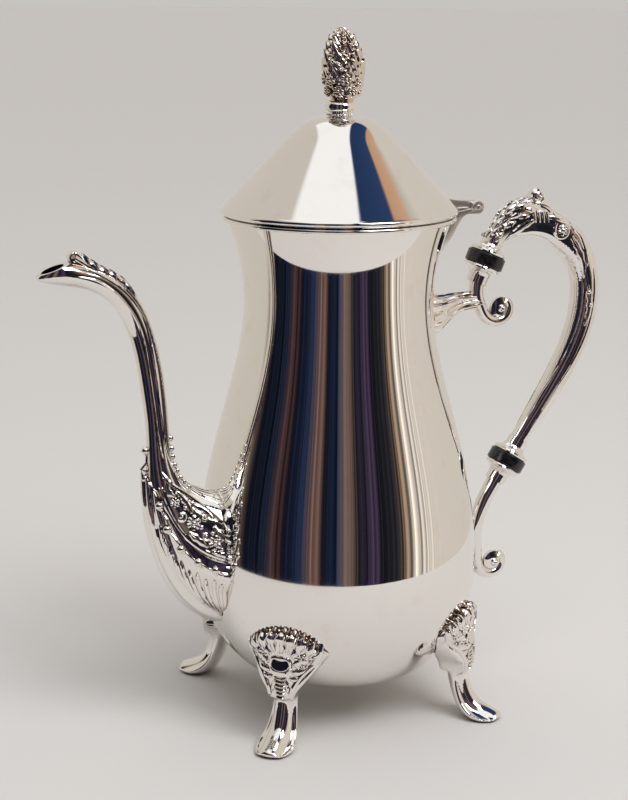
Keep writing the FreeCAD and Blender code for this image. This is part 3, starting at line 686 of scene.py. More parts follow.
class POT_OT_hinge(bpy.types.Operator):
    """Places the hinge's two leaves and its pin"""
    bl_idname = "coffee_pot.hinge"
    bl_label = "Hinge"

    def execute(self, context):
        plate = finish(context, "silver_plate_brushed")
        for name, body in (("hinge_lid_leaf", "lid"), ("hinge_body_bracket", "pot"), ("hinge_pin", "pot")):
            mesh = cad_copy(name)
            bmesh.ops.dissolve_limit(mesh, angle_limit=math.radians(1), verts=mesh.verts, edges=mesh.edges)
            corners = [edge for edge in mesh.edges if edge.calc_face_angle(0.0) > 0.9]
            bmesh.ops.bevel(mesh, geom=corners, offset=0.35 * MM, segments=3, profile=0.5, affect="EDGES",
                            clamp_overlap=True, material=-1)
            add_piece(context, name + "_plated", mesh, plate, body, [name], 50)
        return {"FINISHED"}


class POT_OT_handle(bpy.types.Operator):
    """Dresses the scroll handle and the two sockets with their leaves, flutes and curls"""
    bl_idname = "coffee_pot.handle"
    bl_label = "Handle"

    def execute(self, context):
        chased = finish(context, "silver_plate_chased")
        mesh = cad_copy("handle")
        self.press_cap(mesh)
        self.deepen_arch(mesh)
        skin = Skin(mesh)
        work = bmesh.new()
        collar(work, UPPER_BREAK, UPPER_LEAN, 1)
        collar(work, LOWER_BREAK, LOWER_LEAN, 1)
        self.cap(work, skin)
        for hand in HANDS:
            self.side_work(work, skin, hand)
        append(mesh, work)
        add_piece(context, "handle_casting", mesh, chased, "pot", ["handle"])
        for name, centre, lean, eye in (("handle_upper_socket", UPPER_BREAK, UPPER_LEAN, (72.2, 157.1)),
                                        ("handle_lower_socket", LOWER_BREAK, LOWER_LEAN, (72.2, 48.4))):
            mesh = cad_copy(name)
            skin = Skin(mesh)
            work = bmesh.new()
            if name == "handle_upper_socket":
                self.fluted_arm(work, skin)
            collar(work, centre, lean, -1)
            self.web(work, skin, eye)
            append(mesh, work)
            add_piece(context, name + "_casting", mesh, chased, "pot", [name])
        return {"FINISHED"}

    def web(self, mesh, skin, eye):
        """The dished web inside a socket's curl, and the bead on each side of its eye."""
        for hand in HANDS:
            bead(mesh, skin.spot(*eye, hand)[0], 1.25)
        dish = ((-1.5, 2.2), (-1.3, 3.2), (-0.9, 4.6), (0.9, 4.6), (1.3, 3.2), (1.5, 2.2))
        swept(mesh, [(at(*eye, y), AFT, UP, reach * MM, reach * MM) for y, reach in dish], 48)

    def press_cap(self, mesh):
        """Brings the cap down to the low, straight line of its leaves."""
        line = ((60.0, 183.0), (66.3, 189.2), (70.3, 193.4), (73.4, 197.4), (76.6, 199.8), (80.7, 201.0),
                (84.0, 202.0))
        leaves = 0.8
        for vert in mesh.verts:
            top = value_at(line, vert.co.x / MM)
            if top is not None:
                vert.co.z -= max(0.0, vert.co.z / MM - top + leaves) * 0.85 * MM

    def deepen_arch(self, mesh):
        """Lets the arch hang deeper under the cap, and lowers its back behind the thumb knob."""
        hang = ((0.0, 0.0), (0.05, 0.0), (0.3, 4.2), (0.42, 4.6), (0.6, 4.4), (0.95, 0.0), (1.0, 0.0))
        fall = ((0.0, 0.0), (0.44, 0.0), (0.52, 2.2), (0.6, 2.0), (0.78, 0.0), (1.0, 0.0))
        line = self.rise(80)
        last = len(line) - 1
        for vert in mesh.verts:
            flat = Vector((vert.co.x, 0, vert.co.z))
            near = min(range(last + 1), key=lambda step: (line[step] - flat).length_squared)
            if near in (0, last):
                continue
            ahead = (line[near + 1] - line[near - 1]).normalized()
            outer = ahead.cross(SIDE).normalized()
            outer *= 1 if outer.z > 0 else -1
            high = (flat - line[near]).dot(outer) / MM
            move = clamped((1.5 - high) / 3.5) * value_at(hang, near / last, True)
            move += clamped((high - 1.0) / 3.0) * value_at(fall, near / last, True)
            vert.co -= outer * move * MM

    def fluted_arm(self, mesh, skin):
        """The upper arm: wide and leafy on the body, gathered into flutes towards the stem."""
        for hand in HANDS:
            for places in ([(41.5, 163), (49, 158.6), (57, 158.4), (64, 160.5)],
                           [(41.5, 156), (50, 155.2), (58, 156), (64, 157.6)],
                           [(41.5, 149), (49, 151.4), (57, 153.2), (64, 155)]):
                rib(mesh, skin.trace(places, hand), fading(1.2), fading(0.9))
        arm = bmesh.new()
        narrow, flutes = 0.84, 12
        line = through([Vector(p) for p in ((38.3, 9.4, 156.0), (41.0, 8.4, 156.3), (44.5, 7.2, 157.0),
                                            (48.5, 5.6, 158.9), (53.0, 4.3, 160.4), (58.0, 3.8, 161.0),
                                            (62.0, 3.2, 160.8))], 6)
        stations = [(at(p.x, p.z), UP, SIDE, p.y * MM, narrow * p.y * MM) for p in line]
        swept(arm, stations, 120)
        for vert in arm.verts:
            near = min(line, key=lambda p: abs(p.x - vert.co.x / MM))
            out = vert.co - at(near.x, near.z)
            out.x = 0
            if out.length < 0.5 * MM:
                continue
            wave = math.cos(flutes * math.atan2(out.y / narrow, out.z))
            lobe = 0.3 + 0.55 * max(0.0, (44 - near.x) / 6)
            vert.co += out.normalized() * (wave - 0.6) * lobe * MM
        append(mesh, arm)

    def rise(self, count):
        """Middle line of the bar, from the upper disc over the crest to the back."""
        return bent([at(65.96, 180.48), at(76.51, 205.33), at(111.7, 196.5), at(111.7, 160.5)], count)

    def on_bar(self, skin, line, place, roll):
        """A point of the bar's surface, at a share of its rise and a roll round it from the outer side."""
        spot = place * (len(line) - 1)
        low = min(int(spot), len(line) - 2)
        centre = line[low].lerp(line[low + 1], spot - low)
        ahead = (line[low + 1] - line[low]).normalized()
        outer = ahead.cross(SIDE).normalized()
        if outer.z < 0 and place < 0.5:
            outer = -outer
        aim = -(outer * math.cos(math.radians(roll)) + SIDE * math.sin(math.radians(roll)))
        return skin.hit(centre - aim * 14 * MM, aim)

    def cap(self, mesh, skin):
        """Overlapping leaves from the collar over the crest to the thumb knob."""
        line = self.rise(40)
        def laid(start, reach, roll, twist, count):
            shares = [step / (count - 1) for step in range(count)]
            return [self.on_bar(skin, line, start + reach * share, roll + twist * share) for share in shares]
        for tier in range(6):
            for place in range(-2, 3):
                roll = 34 * place + 17 * (tier % 2)
                leaf(mesh, laid(0.055 + 0.05 * tier, 0.075, roll, 0.2 * roll, 10), 1.25, 1.0, 2)
        for hand in HANDS:
            leaf(mesh, laid(0.42, 0.2, hand * 30, hand * 40, 12), 2.0, 0.9, 4)

    def side_work(self, mesh, skin, hand):
        """Curls, leaves, pleats and two long lines on one side of the handle."""
        scroll(skin, 87.2, 202.2, 2.7, 1.1, 200, hand, mesh, 0.55)
        scroll(skin, 97.2, 188.4, 4.1, 1.15, 130, hand, mesh, 0.85)
        rosette(skin, 97.2, 188.4, 2.1, hand, mesh)
        for places in ([(101.5, 185.5), (104.5, 181), (107, 175), (108.2, 168)],
                       [(91, 194), (97, 193.0), (103.5, 188.8), (107.5, 182.4), (109.5, 173)],
                       [(84, 193), (80, 191), (76, 188.6), (72, 185.4)],
                       [(109.6, 165), (111, 159.5), (110.8, 154), (109, 148)]):
            leaf(mesh, skin.trace(places, hand), 1.5, 0.8, 4)
        for pleat in range(4):
            points = [at(83.8 + 1.9 * pleat + 0.2 * step, 197.0 - 0.85 * step) for step in range(7)]
            rib(mesh, skin.side(points, hand), fading(1.0), fading(0.9))
        for x, z in ((110.4, 162.2), (111.2, 156.8)):
            bead(mesh, skin.spot(x, z, hand)[0], 1.1)
        for places in ([(112.5, 172), (113.2, 160), (110.5, 146), (104.5, 133), (95, 119), (86, 105)],
                       [(108.5, 170), (108.6, 158), (106, 146), (100, 133.5), (91, 119.5), (83, 106)]):
            rib(mesh, skin.trace(places, hand, 8), even(0.45), even(0.4))


class POT_OT_insulators(bpy.types.Operator):
    """Places the two black heat breaks and their cross pins"""
    bl_idname = "coffee_pot.insulators"
    bl_label = "Insulators"

    def execute(self, context):
        black = finish(context, "black_phenolic_turned")
        plate = finish(context, "silver_plate_buffed")
        for which in ("upper", "lower"):
            name = which + "_insulator"
            add_piece(context, name + "_disc", cad_copy(name), black, "pot", [name], 50)
            pins = name + "_pins"
            add_piece(context, pins + "_plated", cad_copy(pins), plate, "pot", [pins])
        return {"FINISHED"}


class POT_OT_spout(bpy.types.Operator):
    """Dresses the swan-neck spout with its shell, scrolls, beads and lip leaves"""
    bl_idname = "coffee_pot.spout"
    bl_label = "Spout"

    def execute(self, context):
        chased = finish(context, "silver_plate_chased")
        mesh = cad_copy("spout")
        self.lower_flanks(mesh, body_line(context.scene.coffee_pot_sizes, 0.0))
        skin = Skin(mesh)
        work = bmesh.new()
        for hand in HANDS:
            self.moulding(work, skin, hand)
            self.shell_edge(work, skin, hand)
            self.scrolls(work, skin, hand)
            self.saddle(work, skin, hand)
        self.crest(work, skin)
        append(mesh, work)
        add_piece(context, "spout_casting", mesh, chased, "pot", ["spout"])
        return {"FINISHED"}

    def lower_flanks(self, mesh, wall):
        """Draws the two leaves beside the saddle down the body to low lobes."""
        wall = [(point.z, point.x) for point in wall]
        for vert in mesh.verts:
            # the saddle's own surface is an oval 36 mm wide and 52 mm high about a height of 66 mm
            share = min(1.0, abs(vert.co.y) / (18 * MM))
            start = (66 + 26 * math.sqrt(1 - share * share) + 0.6) * MM
            if vert.co.z < start or vert.co.z > 125 * MM:
                continue
            reach = math.hypot(vert.co.x, vert.co.y)
            depth = reach - value_at(wall, vert.co.z)
            if depth > 1.6 * MM:
                continue
            vert.co.z = start + (vert.co.z - start) * 0.1
            scale = (value_at(wall, vert.co.z) + depth) / reach
            vert.co.x *= scale
            vert.co.y *= scale

    def moulding(self, mesh, skin, hand):
        """Two fine lines from the lip down the neck to the root."""
        for places in ([(-106, 183.6), (-97.8, 180.9), (-86.8, 172.6), (-79.8, 159.3), (-75.9, 132.1),
                        (-73, 112.3), (-69, 100)],
                       [(-106, 181), (-97.6, 178.4), (-88.6, 170.4), (-82, 157.6), (-78, 132), (-75.4, 112),
                        (-72.5, 101)]):
            rib(mesh, skin.trace(places, hand, 10), even(0.5), even(0.55))

    def shell_edge(self, mesh, skin, hand):
        """Lobed edge of the shell: a knob on each flute, an arch between knobs and ribs down to the root."""
        knobs = [(-84.2, 111.5), (-80.2, 100.5), (-77.6, 91.5), (-74.9, 82.5), (-70.6, 75.2), (-64.8, 69.8),
                 (-58.4, 66.4), (-52.6, 64.8)]
        root = (-51.5, 43.0)
        for x, z in knobs:
            point, out = skin.spot(x, z, hand)
            bead(mesh, point + out * 0.6 * MM, 1.6)
            run = (at(*root) - at(x, z)).normalized() * 2.6
            drop = [at(x, z) + run * MM * share for share in (0, 0.2, 0.4, 0.6, 0.8, 1.0)]
            rib(mesh, skin.side(drop, hand), fading(1.7, 0.2), fading(1.7, 0.2), 10)
        for start, end in zip(knobs, knobs[1:]):
            sag_x = (start[0] + end[0]) / 2 + 0.13 * (root[0] - start[0])
            sag_z = (start[1] + end[1]) / 2 + 0.1 * (root[1] - start[1])
            path = skin.side(bent([at(*start), at(sag_x, sag_z), at(*end)], 10), hand)
            rib(mesh, path, even(0.55), even(0.6))
        middles = [((a[0] + b[0]) / 2, (a[1] + b[1]) / 2 - 1.5) for a, b in zip(knobs[2:], knobs[3:])]
        for x, z in knobs[1:] + middles:
            bulge_x = x + 0.12 * (root[0] - x) - 0.09 * (z - root[1])
            bulge_z = z + 0.55 * (root[1] - z)
            path = skin.side(bent([at(x, z - 1.5), at(bulge_x, bulge_z), at(*root)], 18), hand)
            rib(mesh, path[2 if z < 92 else 5:], fading(0.95, 0.3), fading(0.9, 0.5), 10)

    def scrolls(self, mesh, skin, hand):
        """A framed spray of flowers, curls and leaves between the shell and the saddle."""
        for places in ([(-75.5, 104), (-72.5, 99.5), (-67, 95), (-61.5, 90.5), (-56, 85.8), (-51, 80)],
                       [(-77, 98), (-74.6, 90), (-69.6, 80.6), (-62.6, 74), (-55, 70.2), (-50.5, 68.8)]):
            rib(mesh, skin.trace(places, hand, 9), even(0.95), even(1.0))
        for x, z, radius in ((-71.6, 92.4, 1.7), (-65.2, 84.4, 2.5), (-57.6, 76.6, 2.5), (-52.2, 73.2, 1.5)):
            rosette(skin, x, z, radius, hand, mesh)
        for x, z, radius, turns, start in ((-69.4, 87.2, 2.0, 1.1, 220), (-61.0, 79.4, 2.1, -1.1, 40),
                                           (-60.4, 86.2, 2.0, 1.1, 60), (-54.0, 80.2, 1.8, -1.1, 60)):
            scroll(skin, x, z, radius, turns, start, hand, mesh, 0.6)
        for places in ([(-74.8, 102), (-74.4, 98.5), (-73.2, 96), (-71.2, 94.6)],
                       [(-70.4, 96.4), (-67.6, 93), (-66.2, 90.4), (-65.4, 87.8)],
                       [(-65.6, 91.8), (-62.6, 90), (-59.6, 88.2), (-57.0, 85.0)],
                       [(-67.4, 81.2), (-65.2, 79), (-62.8, 77), (-60.2, 75.0)],
                       [(-57.4, 82.6), (-55.6, 79.6), (-53.6, 77.4), (-51.2, 76.0)],
                       [(-59.6, 73.4), (-57, 72.2), (-54.4, 71.4), (-51.6, 70.6)]):
            leaf(mesh, skin.trace(places, hand, 7), 1.5, 1.1, 3)
        for x, z in ((-67.8, 90.2), (-62.4, 82.6), (-55.2, 73.8), (-58.2, 80.0)):
            bead(mesh, skin.spot(x, z, hand)[0], 0.95)

    def saddle(self, mesh, skin, hand):
        """Beaded vine on the inner side of the neck, and flutes over the saddle."""
        aim = Vector((-0.8, 0, -0.6))
        vine = bent([at(-68.8, 117), at(-69.4, 107), at(-69.4, 100), at(-64.5, 96)], 8)
        for step, spot in enumerate(vine):
            spot.y = hand * (0.7 + 2.2 * step / 7 + 0.6 * (step % 2)) * MM
            bead(mesh, skin.hit(spot - aim * CLEAR, aim)[0], 1.5 - 0.06 * step)
        for wide in (2.0, 5.0, 8.5, 11.5):
            line = bent([at(-64, 0, hand * 0.35 * wide), at(-57, 0, hand * 0.55 * wide),
                         at(-52, 0, hand * 0.8 * wide), at(-45.5, 0, hand * 1.1 * wide)], 14)
            path = [(point, out) for point, out in skin.below(line, 130) if 60 * MM < point.z < 112 * MM]
            if len(path) > 5:
                rib(mesh, path, fading(0.8), fading(0.6))

    def crest(self, mesh, skin):
        """Overlapping leaves on the back of the lip, the last one rolled up at its end."""
        for x in (-102.5, -99.0, -95.5, -92.0, -88.6):
            for hand in HANDS:
                line = bent([at(x - 1.2, 0, hand * 0.3), at(x + 1.5, 0, hand * 1.7),
                             at(x + 4.4, 0, hand * 3.4)], 8)
                leaf(mesh, skin.below(line, 210), 1.35, 1.15, 2)
        roll = through([at(*p) for p in ((-100.5, 183.6), (-103.0, 186.2), (-104.9, 188.6), (-106.6, 189.2),
                                         (-107.9, 188.2), (-107.9, 186.8), (-106.9, 186.2))], 5)
        stations = []
        for step, point in enumerate(roll):
            ahead = (roll[min(step + 1, len(roll) - 1)] - roll[max(step - 1, 0)]).normalized()
            half = 2.7 - 0.6 * step / len(roll)
            stations.append((point, SIDE.cross(ahead), SIDE, 0.75 * MM, half * MM))
        swept(mesh, stations, 14)


class Plate:
    """The outer face of a foot; its places are millimetres across from the middle and up from the table."""

    def __init__(self, skin, turn):
        self.skin = skin
        self.turn = turn
        self.radius = 57.5

    def lay(self, places):
        path = []
        for across, up in places:
            out = outward(self.turn + across / self.radius)
            path.append(self.skin.hit(out * 75 * MM + UP * up * MM, -out))
        return path

    def spot(self, across, up):
        return self.lay([(across, up)])[0]

    def trace(self, places, steps=6):
        line = through([Vector((across, 0, up)) for across, up in places], steps)
        return self.lay([(point.x, point.z) for point in line])


class POT_OT_feet(bpy.types.Operator):
    """Dresses the four feet with their shell plates, blank cartouches and ribbed ankles"""
    bl_idname = "coffee_pot.feet"
    bl_label = "Feet"

    def execute(self, context):
        chased = finish(context, "silver_plate_chased")
        body = Skin(cad_copy("body"))
        for degrees, node_name in ((45, "foot_back_right"), (135, "foot_back_left"), (225, "foot_front_left"),
                                   (315, "foot_front_right")):
            turn = math.radians(degrees)
            mesh = self.soft_casting(context, node_name)
            self.crown(mesh, outward(turn))
            self.dome(mesh, outward(turn), body)
            work = bmesh.new()
            plate = Plate(Skin(mesh), turn)
            for hand in HANDS:
                self.flank(work, plate, hand)
            self.top_leaves(work, plate)
            self.cartouche(work, plate)
            self.ankle(work, plate)
            append(mesh, work)
            add_piece(context, node_name + "_casting", mesh, chased, "pot", [node_name])
        return {"FINISHED"}

    def soft_casting(self, context, node_name):
        """The foot's solid with the rounded edges and corners of a casting."""
        blank = linked(context, "foot_blank", cad_copy(node_name))
        melt = blank.modifiers.new("melt", "REMESH")
        melt.mode = "VOXEL"
        melt.voxel_size = 0.4 * MM
        soften = blank.modifiers.new("soften", "SMOOTH")
        soften.factor = 0.5
        soften.iterations = 36
        soft = modified(context, blank)
        self.stand(soft)
        return soft

    def stand(self, mesh):
        """Keeps the toe's sole flat on the table."""
        for vert in mesh.verts:
            vert.co.z = max(0.0, vert.co.z)

    def crown(self, mesh, out):
        """Rounds the leg and the toe across, like the back of a spoon."""
        ankle, half_width = 21, 4.3
        face = (out + 0.8 * UP).normalized()
        mesh.normal_update()
        moves = []
        for vert in mesh.verts:
            across = vert.co.dot(UP.cross(out)) / MM
            share = clamped((ankle - vert.co.z / MM) / 4)
            facing = clamped(1.6 * vert.normal.dot(face))
            rise = max(-1.6, 0.6 - 1.6 * (across / half_width) ** 2)
            moves.append((vert, vert.normal * rise * share * facing * MM))
        for vert, move in moves:
            vert.co += move
        leg = [vert for vert in mesh.verts if 0.6 * MM < vert.co.z < ankle * MM]
        for _ in range(8):
            bmesh.ops.smooth_vert(mesh, verts=leg, factor=0.5, use_axis_x=True, use_axis_y=True,
                                  use_axis_z=True)
        self.stand(mesh)

    def dome(self, mesh, out, body):
        """Curves the plate's two sides back towards the body, as a shell lies on it."""
        half_width = 15
        moves = []
        for vert in mesh.verts:
            share = clamped((vert.co.z / MM - 25) / 8)
            if not share:
                continue
            away = Vector((vert.co.x, vert.co.y, 0)).normalized()
            wall = body.hit(vert.co + away * 40 * MM, -away)[0]
            proud = (vert.co - wall).dot(away) / MM
            if proud > 0.2:
                wide = abs(vert.co.dot(UP.cross(out))) / MM / half_width
                moves.append((vert, away * -0.62 * proud * share * min(1.0, wide * wide) * MM))
        for vert, move in moves:
            vert.co += move

    def flank(self, mesh, plate, hand):
        """One side of the plate: its edge, the curl at the corner, leaves and three flowers."""
        edge = [(4.3, 20), (5.0, 24), (8.2, 29.5), (12.6, 33.5), (15.6, 36.6)]
        rib(mesh, plate.trace([(hand * u, v) for u, v in edge]), even(0.95), even(0.9))
        curl = []
        for share in [step / 20 for step in range(21)]:
            reach = 2.6 * (1 - 0.75 * share)
            curl.append((hand * (13.2 + reach * math.cos(6.9 * share)), 37.2 + reach * math.sin(6.9 * share)))
        rib(mesh, plate.lay(curl), even(0.7, 0.6), even(0.8, 0.6))
        for start, middle, end, wide in (
                ((5.2, 33.5), (8, 35.5), (11.2, 35.0), 1.5), ((4.6, 31), (7.5, 31.0), (10.2, 32.6), 1.4),
                ((3.6, 28.6), (5.8, 28), (7.4, 29.2), 1.1), ((4.4, 36.8), (7.4, 39.6), (11.0, 40.6), 1.6),
                ((2.6, 38.4), (4.4, 41.2), (6.6, 43.0), 1.5), ((2.0, 27.6), (2.8, 25), (3.4, 22.2), 0.9)):
            leaf(mesh, plate.trace([(hand * u, v) for u, v in (start, middle, end)], 7), wide, 0.95, 3)
        petals = 5
        for u, v, reach in ((7.4, 37.6, 1.6), (11.4, 36.6, 1.3), (9.0, 33.2, 1.1)):
            for angle in [FULL_TURN * petal / petals for petal in range(petals)]:
                place = plate.spot(hand * (u + reach * math.cos(angle)), v + reach * math.sin(angle))[0]
                bead(mesh, place, 0.62 * reach)
            point, out = plate.spot(hand * u, v)
            bead(mesh, point + out * 0.5 * MM, 0.5 * reach)

    def top_leaves(self, mesh, plate):
        """A middle leaf, and large and small leaves that fold over the plate's arched top edge."""
        leaf(mesh, plate.trace([(0, 38.2), (0, 41.5), (0, 44.9)]), 1.9, 1.1, 3)
        large = [(tip, 2.0 - 0.03 * abs(tip), 5.2, 0.2)
                 for tip in (-15.4, -12.2, -8.4, -4.4, 0, 4.4, 8.4, 12.2, 15.4)]
        small = [(tip, 1.2, 3.2, 1.1) for tip in (-13.8, -10.4, -6.4, -2.2, 2.2, 6.4, 10.4, 13.8)]
        for tip, wide, long, low in large + small:
            top = 45.0 - 7.4 * (tip / 17.3) ** 2
            path = plate.trace([(0.78 * tip, top - long), (0.9 * tip, top - 0.5 * long), (tip, top - low)], 5)
            face = path[-1][0]
            away = Vector((face.x, face.y, 0)).normalized()
            path += [plate.skin.hit(face - away * back * MM + UP * 9 * MM, -UP)
                     for back in (0.6, 1.5, 2.4, 3.3)]
            leaf(mesh, path, wide, 1.3, 2)

    def cartouche(self, mesh, plate):
        """A rounded frame about a blank panel, which leans back to the light."""
        height, lean = 33.4, math.radians(20)

        def squared(value):
            return math.copysign(abs(value) ** 0.6, value)
        ring = [FULL_TURN * step / 32 + 0.1 for step in range(33)]
        edge = [(4.0 * squared(math.cos(turn)), height + 2.8 * squared(math.sin(turn))) for turn in ring]
        rib(mesh, plate.lay(edge), lambda share: 0.75, lambda share: 0.9)
        out = outward(plate.turn)
        across = UP.cross(out)
        face = out * math.cos(lean) + UP * math.sin(lean)
        centre = plate.spot(0, height)[0]
        swept(mesh, [(centre + face * deep * MM, across, face.cross(across), half * MM, (half - 1.2) * MM)
                     for deep, half in ((-1.6, 3.6), (0.3, 3.8), (0.5, 3.6))], 48)

    def ankle(self, mesh, plate):
        """Six short bowed ribs, one over the other."""
        for step in range(6):
            up = 20.0 + 1.55 * step
            half = 1.7 + 0.22 * step
            places = [(half * share, up + 0.5 * share ** 2) for share in [s / 4 - 1 for s in range(9)]]
            rib(mesh, plate.lay(places), even(0.6), even(0.8))


# Stage

CAMERA_TURN = math.radians(-23.59)
TABLE_EDGE = 320 * MM
TOWARD = Vector((math.sin(CAMERA_TURN), -math.cos(CAMERA_TURN), 0))
RIGHT = Vector((math.cos(CAMERA_TURN), math.sin(CAMERA_TURN), 0))


class POT_OT_stage(bpy.types.Operator):
    """Lays the floor and sets the camera, the lamps and the soft room round the pot"""
    bl_idname = "coffee_pot.stage"
    bl_label = "Stage"

    def execute(self, context):
        self.lay_floor(context)
        self.set_camera(context)
        self.set_lamps(context)
        self.set_room(context)
        context.scene.view_settings.view_transform = "Standard"
        return {"FINISHED"}

    def lay_floor(self, context):
        """An endless floor for the eye; the plate mirrors only a table top that ends before the camera."""
        material, tree = new_tree("matt_paper_floor")
        place = node(tree, "ShaderNodeTexCoord").outputs["Object"]
        tooth = node(tree, "ShaderNodeTexNoise", {"Vector": place, "Scale": 1 / (90 * MM), "Detail": 4.0})
        rough = node(tree, "ShaderNodeMapRange", {"Value": tooth, "To Min": 0.75, "To Max": 0.95})
        shader = node(tree, "ShaderNodeBsdfPrincipled",
                      {"Base Color": context.scene.coffee_pot_finishes.floor, "Roughness": rough,
                      "Specular IOR Level": 0.2})
        node(tree, "ShaderNodeOutputMaterial", {"Surface": shader})
        for name, half, mirrored in (("floor", 30.0, False), ("table_top", TABLE_EDGE, True)):
            mesh = bmesh.new()
            bmesh.ops.create_circle(mesh, cap_ends=True, segments=96, radius=half)
            if mirrored:
                bmesh.ops.translate(mesh, verts=mesh.verts, vec=(0, 0, 0.1 * MM))
            sheet = linked(context, name, mesh)
            sheet.data.materials.append(material)
            sheet.visible_glossy = mirrored
            sheet.visible_camera = not mirrored
            sheet.visible_diffuse = not mirrored
            sheet.visible_shadow = not mirrored

    def set_camera(self, context):
        """A camera 676 mm off, with a focal length of 1744 where the picture is 800 high."""
        distance, height = 676.0, 283.0
        focal, picture = 1744, 800
        pitch, yaw, roll = (math.radians(angle) for angle in (13.20, 0.80, 0.30))
        ahead = -TOWARD * math.cos(yaw) - RIGHT * math.sin(yaw)
        right = RIGHT * math.cos(yaw) - TOWARD * math.sin(yaw)
        look = ahead * math.cos(pitch) - UP * math.sin(pitch)
        over = UP * math.cos(pitch) + ahead * math.sin(pitch)
        flat = right * math.cos(roll) + over * math.sin(roll)
        over = over * math.cos(roll) - right * math.sin(roll)
        data = bpy.data.cameras.new("camera")
        data.sensor_width = 36.0
        data.lens = focal * data.sensor_width / picture
        camera = bpy.data.objects.new("camera", data)
        context.scene.collection.objects.link(camera)
        turned = Matrix((flat, over, -look)).transposed().to_4x4()
        turned.translation = (TOWARD * distance + UP * height) * MM
        camera.matrix_world = turned
        context.scene.camera = camera

    def set_lamps(self, context):
        """One broad lamp up to the right and a wide soft sky, both without hard edges."""
        for name, kind, place, power in (
                ("key_lamp", "AREA", RIGHT * 0.75 + TOWARD * 0.65 + UP * 1.25, 7.0),
                ("sky_lamp", "SUN", RIGHT * 0.35 + TOWARD * 0.45 + UP * 1.0, 0.9)):
            data = bpy.data.lights.new(name, kind)
            data.energy = power
            if kind == "SUN":
                data.angle = math.radians(50)
            else:
                data.size = 0.7
            lamp = bpy.data.objects.new(name, data)
            context.scene.collection.objects.link(lamp)
            lamp.location = place
            lamp.rotation_euler = (at(0, 100) - place).to_track_quat("-Z", "Y").to_euler()
            lamp.visible_glossy = kind != "SUN"

    def set_room(self, context):
        """Pale walls all round, dark cards of several tones towards the camera, a bright panel overhead."""
        world = bpy.data.worlds.new("room")
        context.scene.world = world
        world.use_nodes = True
        tree = world.node_tree
        tree.nodes.clear()
        way = node(tree, "ShaderNodeTexCoord").outputs["Generated"]
        across, toward = [node(tree, "ShaderNodeVectorMath", {0: way, 1: along},
                               operation="DOT_PRODUCT").outputs["Value"] for along in (RIGHT, TOWARD)]
        height = node(tree, "ShaderNodeSeparateXYZ", {0: way}).outputs["Z"]
        angle = node(tree, "ShaderNodeMath", {0: across, 1: toward}, operation="ARCTAN2")
        share = node(tree, "ShaderNodeMath", {0: angle, 1: 1 / FULL_TURN, 2: 0.5}, operation="MULTIPLY_ADD")
        cards = stops(node(tree, "ShaderNodeValToRGB", {"Fac": share}),
                      (0.0, "#CFC9C1"), (0.235, "#CBC4BA"), (0.258, "#5A4A40"), (0.272, "#10131C"),
                      (0.33, "#1B2233"), (0.355, "#463230"), (0.38, "#0E1220"), (0.42, "#25304A"),
                      (0.45, "#755A50"), (0.468, "#14151C"), (0.50, "#1C2A44"), (0.53, "#7E665C"),
                      (0.55, "#181A22"), (0.585, "#3E3348"), (0.61, "#15161B"), (0.645, "#2B2A30"),
                      (0.668, "#8A7462"), (0.69, "#D8CFC4"), (1.0, "#CFC9C1"))
        streak = node(tree, "ShaderNodeTexNoise", {"W": angle, "Scale": 13.0, "Detail": 5.0,
                      "Roughness": 0.7}, noise_dimensions="1D")
        depth = node(tree, "ShaderNodeMapRange", {"Value": streak, "From Min": 0.36, "From Max": 0.66,
                     "To Min": 0.25, "To Max": 1.9})
        front = node(tree, "ShaderNodeMapRange", {"Value": toward, "From Min": -0.1, "From Max": 0.35})
        shade = node(tree, "ShaderNodeMix", {0: front, 2: 1.0, 3: depth})
        toned = node(tree, "ShaderNodeVectorMath", {0: cards, 3: shade}, operation="SCALE")
        slope = node(tree, "ShaderNodeMath", {0: across, 1: height}, operation="DIVIDE")
        reach = node(tree, "ShaderNodeMath", {0: slope, 1: 0.25, 2: 0.5}, operation="MULTIPLY_ADD")
        ceiling = stops(node(tree, "ShaderNodeValToRGB", {"Fac": reach}),
                        (0.0, "#CCC6BE"), (0.37, "#CCC6BE"), (0.385, "#FFFFFF"), (0.55, "#FFFFFF"),
                        (0.556, "#24365A"), (0.64, "#2C4168"), (0.648, "#C49A78"), (0.682, "#C8A488"),
                        (0.70, "#C4BDB4"), (1.0, "#CCC6BE"))
        high = node(tree, "ShaderNodeMapRange", {"Value": height, "From Min": 0.70, "From Max": 0.76},
                    interpolation_type="SMOOTHSTEP")
        room = node(tree, "ShaderNodeMix", {0: high, 6: toned, 7: ceiling}, data_type="RGBA")
        seen = node(tree, "ShaderNodeLightPath").outputs["Is Camera Ray"]
        shown = node(tree, "ShaderNodeMix", {0: seen, 6: room.outputs[2], 7: linear("#C6C3BF")},
                     data_type="RGBA")
        light = node(tree, "ShaderNodeBackground", {"Color": shown.outputs[2], "Strength": 1.0})
        node(tree, "ShaderNodeOutputWorld", {"Surface": light})


class POT_PT_panel(bpy.types.Panel):
    """Lists the pot's pieces in the order in which they are made"""
    bl_idname = "POT_PT_panel"
    bl_label = "Coffee pot"
    bl_space_type = "VIEW_3D"
    bl_region_type = "UI"
    bl_category = "Coffee pot"

    def draw(self, context):
        for operator in OPERATORS:
            self.layout.operator(operator.bl_idname)


OPERATORS = (POT_OT_body, POT_OT_lid, POT_OT_finial, POT_OT_hinge, POT_OT_handle, POT_OT_insulators,
             POT_OT_spout, POT_OT_feet, POT_OT_stage)
CLASSES = (CoffeePotSizes, CoffeePotFinishes) + OPERATORS + (POT_PT_panel,)


def register():
    for each in CLASSES:
        bpy.utils.register_class(each)
    bpy.types.Scene.coffee_pot_sizes = bpy.props.PointerProperty(type=CoffeePotSizes)
    bpy.types.Scene.coffee_pot_finishes = bpy.props.PointerProperty(type=CoffeePotFinishes)


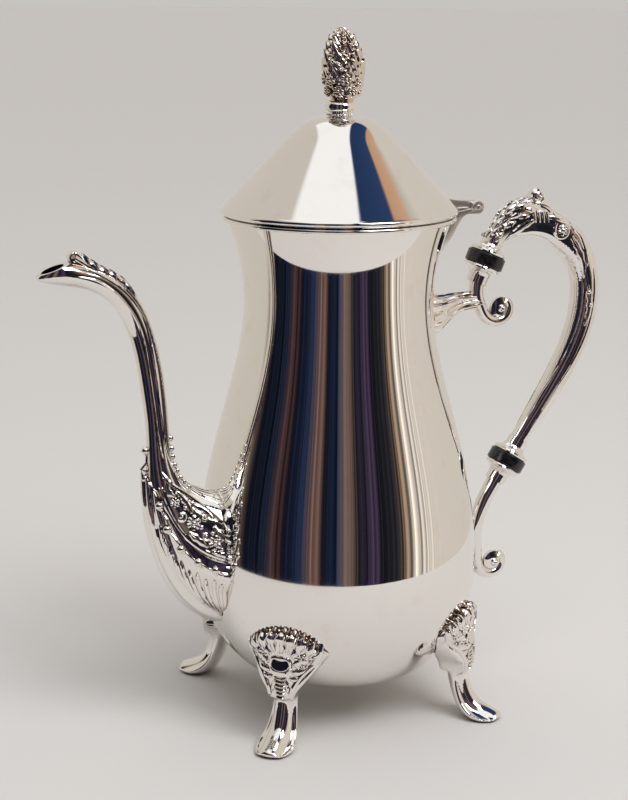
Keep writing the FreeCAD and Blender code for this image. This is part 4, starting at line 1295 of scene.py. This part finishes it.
def unregister():
    del bpy.types.Scene.coffee_pot_finishes
    del bpy.types.Scene.coffee_pot_sizes
    for each in reversed(CLASSES):
        bpy.utils.unregister_class(each)


def main():
    register()
    bpy.ops.coffee_pot.body()
    bpy.ops.coffee_pot.lid()
    bpy.ops.coffee_pot.finial()
    bpy.ops.coffee_pot.hinge()
    bpy.ops.coffee_pot.handle()
    bpy.ops.coffee_pot.insulators()
    bpy.ops.coffee_pot.spout()
    bpy.ops.coffee_pot.feet()
    bpy.ops.coffee_pot.stage()


if __name__ == "__main__":
    main()
